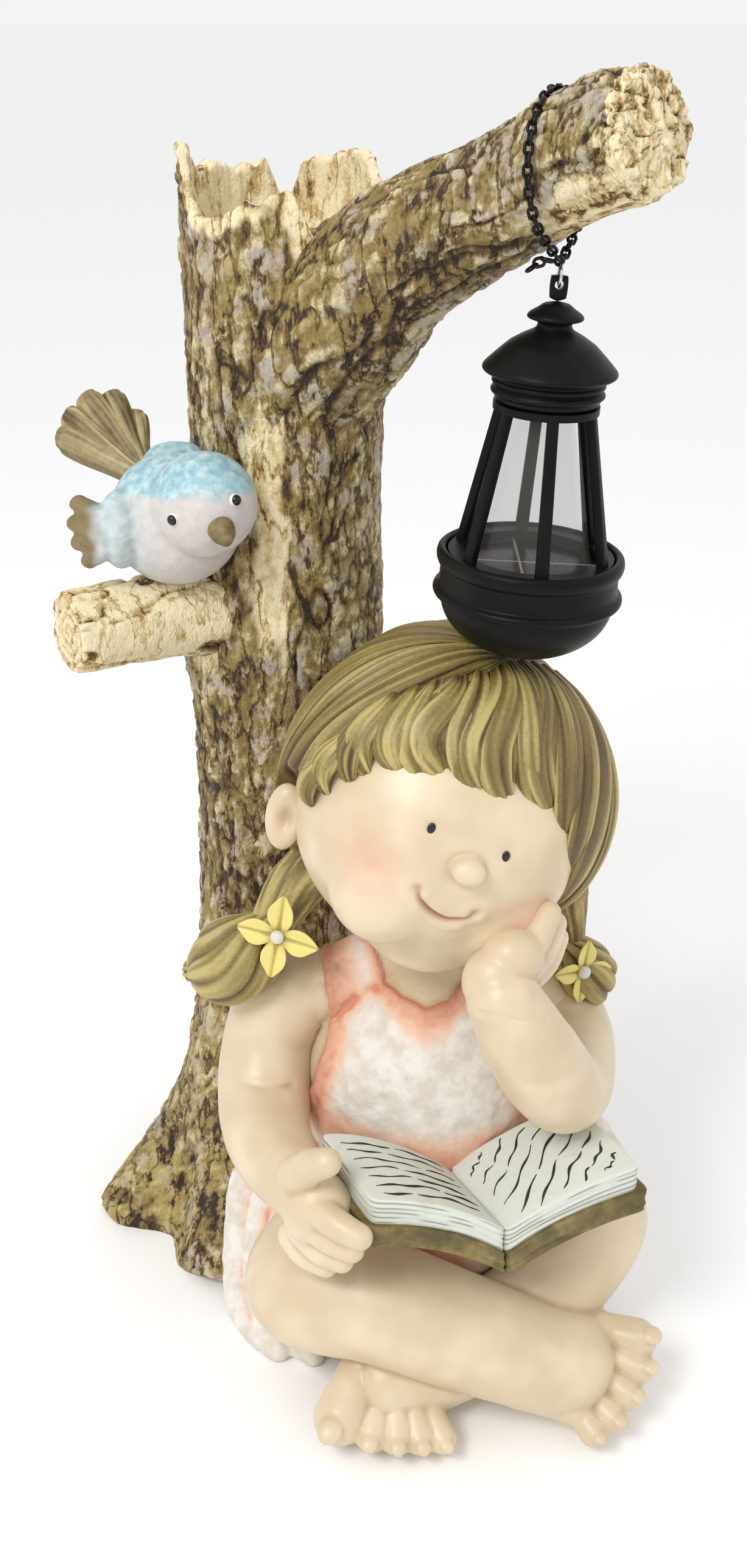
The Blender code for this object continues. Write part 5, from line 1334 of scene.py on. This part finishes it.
def link(middle, way, side, c):     # a slot-shaped wire loop: two half circles joined by straight sides
    half, wide = 0.5 * (c["length"] - c["width"]), 0.5 * (c["width"] - c["wire"])
    a = turns(28) + math.pi / 28
    line = np.outer(np.sign(np.cos(a)) * half + wide * np.cos(a), way) + np.outer(wide * np.sin(a), side)
    line = middle + line
    return loop(line, unit(np.cross(way, side)), c["wire"], 10)


def makeChain(c):
    # The path is the taut line from the ring round a circle in the loop's own plane, and back
    across = np.array([math.cos(math.radians(c["turn"])), math.sin(math.radians(c["turn"])), 0.0])
    square = np.array([-across[1], across[0], 0.0])
    up = unit(np.array([0, 0, 1.0]) + c["slant"] * square)
    middle = lantern["hang"] + up * c["rise"]
    lift = math.acos(c["radius"] / c["apex"])
    a = np.linspace(-math.pi / 2 + lift, 1.5 * math.pi - lift, 160)
    flat = np.vstack([[0, -c["apex"]], c["radius"] * grow(np.cos(a), np.sin(a)), [0, -c["apex"]]])
    line = middle + np.outer(flat[:, 0], across) + np.outer(flat[:, 1], up)
    walked = np.concatenate([[0], np.cumsum(np.linalg.norm(np.diff(line, axis=0), axis=1))])
    count = round(walked[-1] / c["pitch"])
    shells = []
    for k in range(count):
        at = walked[-1] * (k + 0.5) / count
        here, ahead, behind = (np.array([np.interp(at + d, walked, line[:, n]) for n in range(3)])
                for d in (0, 1.0, -1.0))
        way = unit(ahead - behind)
        out = unit(np.cross(way, square))
        tilt = math.radians(45 if k % 2 else -45)
        shells.append(link(here, way, math.cos(tilt) * square + math.sin(tilt) * out, c))
    here, way = lantern["hang"] + up * 0.8 - (1.6, 1.2, 0), unit(np.array([-0.9, -0.3, 0.25]))
    for k in range(c["tail"]):
        way = unit(way + np.array([0.05, -0.10, -0.38]) * (k > 0))
        here = here + way * c["pitch"]
        shells.append(link(here, way, unit(np.cross(way, (0, 1, 0) if k % 2 else (0.3, 0.4, 1))), c))
    obj = placed(meshOf("chainLinks", shells, ring=True), "chain_black", "chain")
    paint = Paint("blackChain", 0.4, metallic=0.6)
    worn = paint.grain(3, 3)
    paint.set("Base Color", paint.mix(worn.band(0.5, 0.8), tone(20, 19, 18), tone(56, 52, 48)))
    paint.on(obj)


makeChain(chain)
print("chain made")


# Studio: pale floor, soft light, and the camera where the photo was taken

studio = {"world": 0.9, "floor": 0.97, "aim": (0, -0.03, 0.25), "camera": (0.0, -0.545, 0.518),
    "tilt": 62.5, "focus": 2500 / 2576,
    "lights": (("key", (-0.65, -0.95, 1.45), 0.5, 12), ("fill", (1.3, -0.6, 1.2), 1.1, 1.5))}


def makeStudio(p):
    bpy.ops.mesh.primitive_plane_add(size=60.0)
    floor = bpy.context.object
    floor.name = "paleFloor"
    paint = Paint("floorWhite", 0.9)
    paint.set("Base Color", (*[p["floor"]] * 3, 1))
    paint.on(floor)
    world = bpy.context.scene.world or bpy.data.worlds.new("studio")
    bpy.context.scene.world = world
    world.use_nodes = True
    world.node_tree.nodes["Background"].inputs["Color"].default_value = (1, 1, 1, 1)
    world.node_tree.nodes["Background"].inputs["Strength"].default_value = p["world"]
    for name, place, size, power in p["lights"]:
        light = bpy.data.lights.new(name, "AREA")
        light.size = size
        light.energy = power
        made = bpy.data.objects.new(name, light)
        bpy.context.scene.collection.objects.link(made)
        made.location = place
        made.rotation_euler = (Vector(p["aim"]) - made.location).to_track_quat("-Z", "Y").to_euler()
    camera = bpy.data.cameras.new("camera")
    camera.sensor_fit = "VERTICAL"
    camera.sensor_height = 36.0
    camera.lens = p["focus"] * 36.0
    view = bpy.data.objects.new("camera", camera)
    bpy.context.scene.collection.objects.link(view)
    view.location = p["camera"]
    view.rotation_euler = (math.radians(p["tilt"]), 0.0, 0.0)
    bpy.context.scene.camera = view
    bpy.context.scene.view_settings.view_transform = "Standard"


makeStudio(studio)
print("all pieces placed")
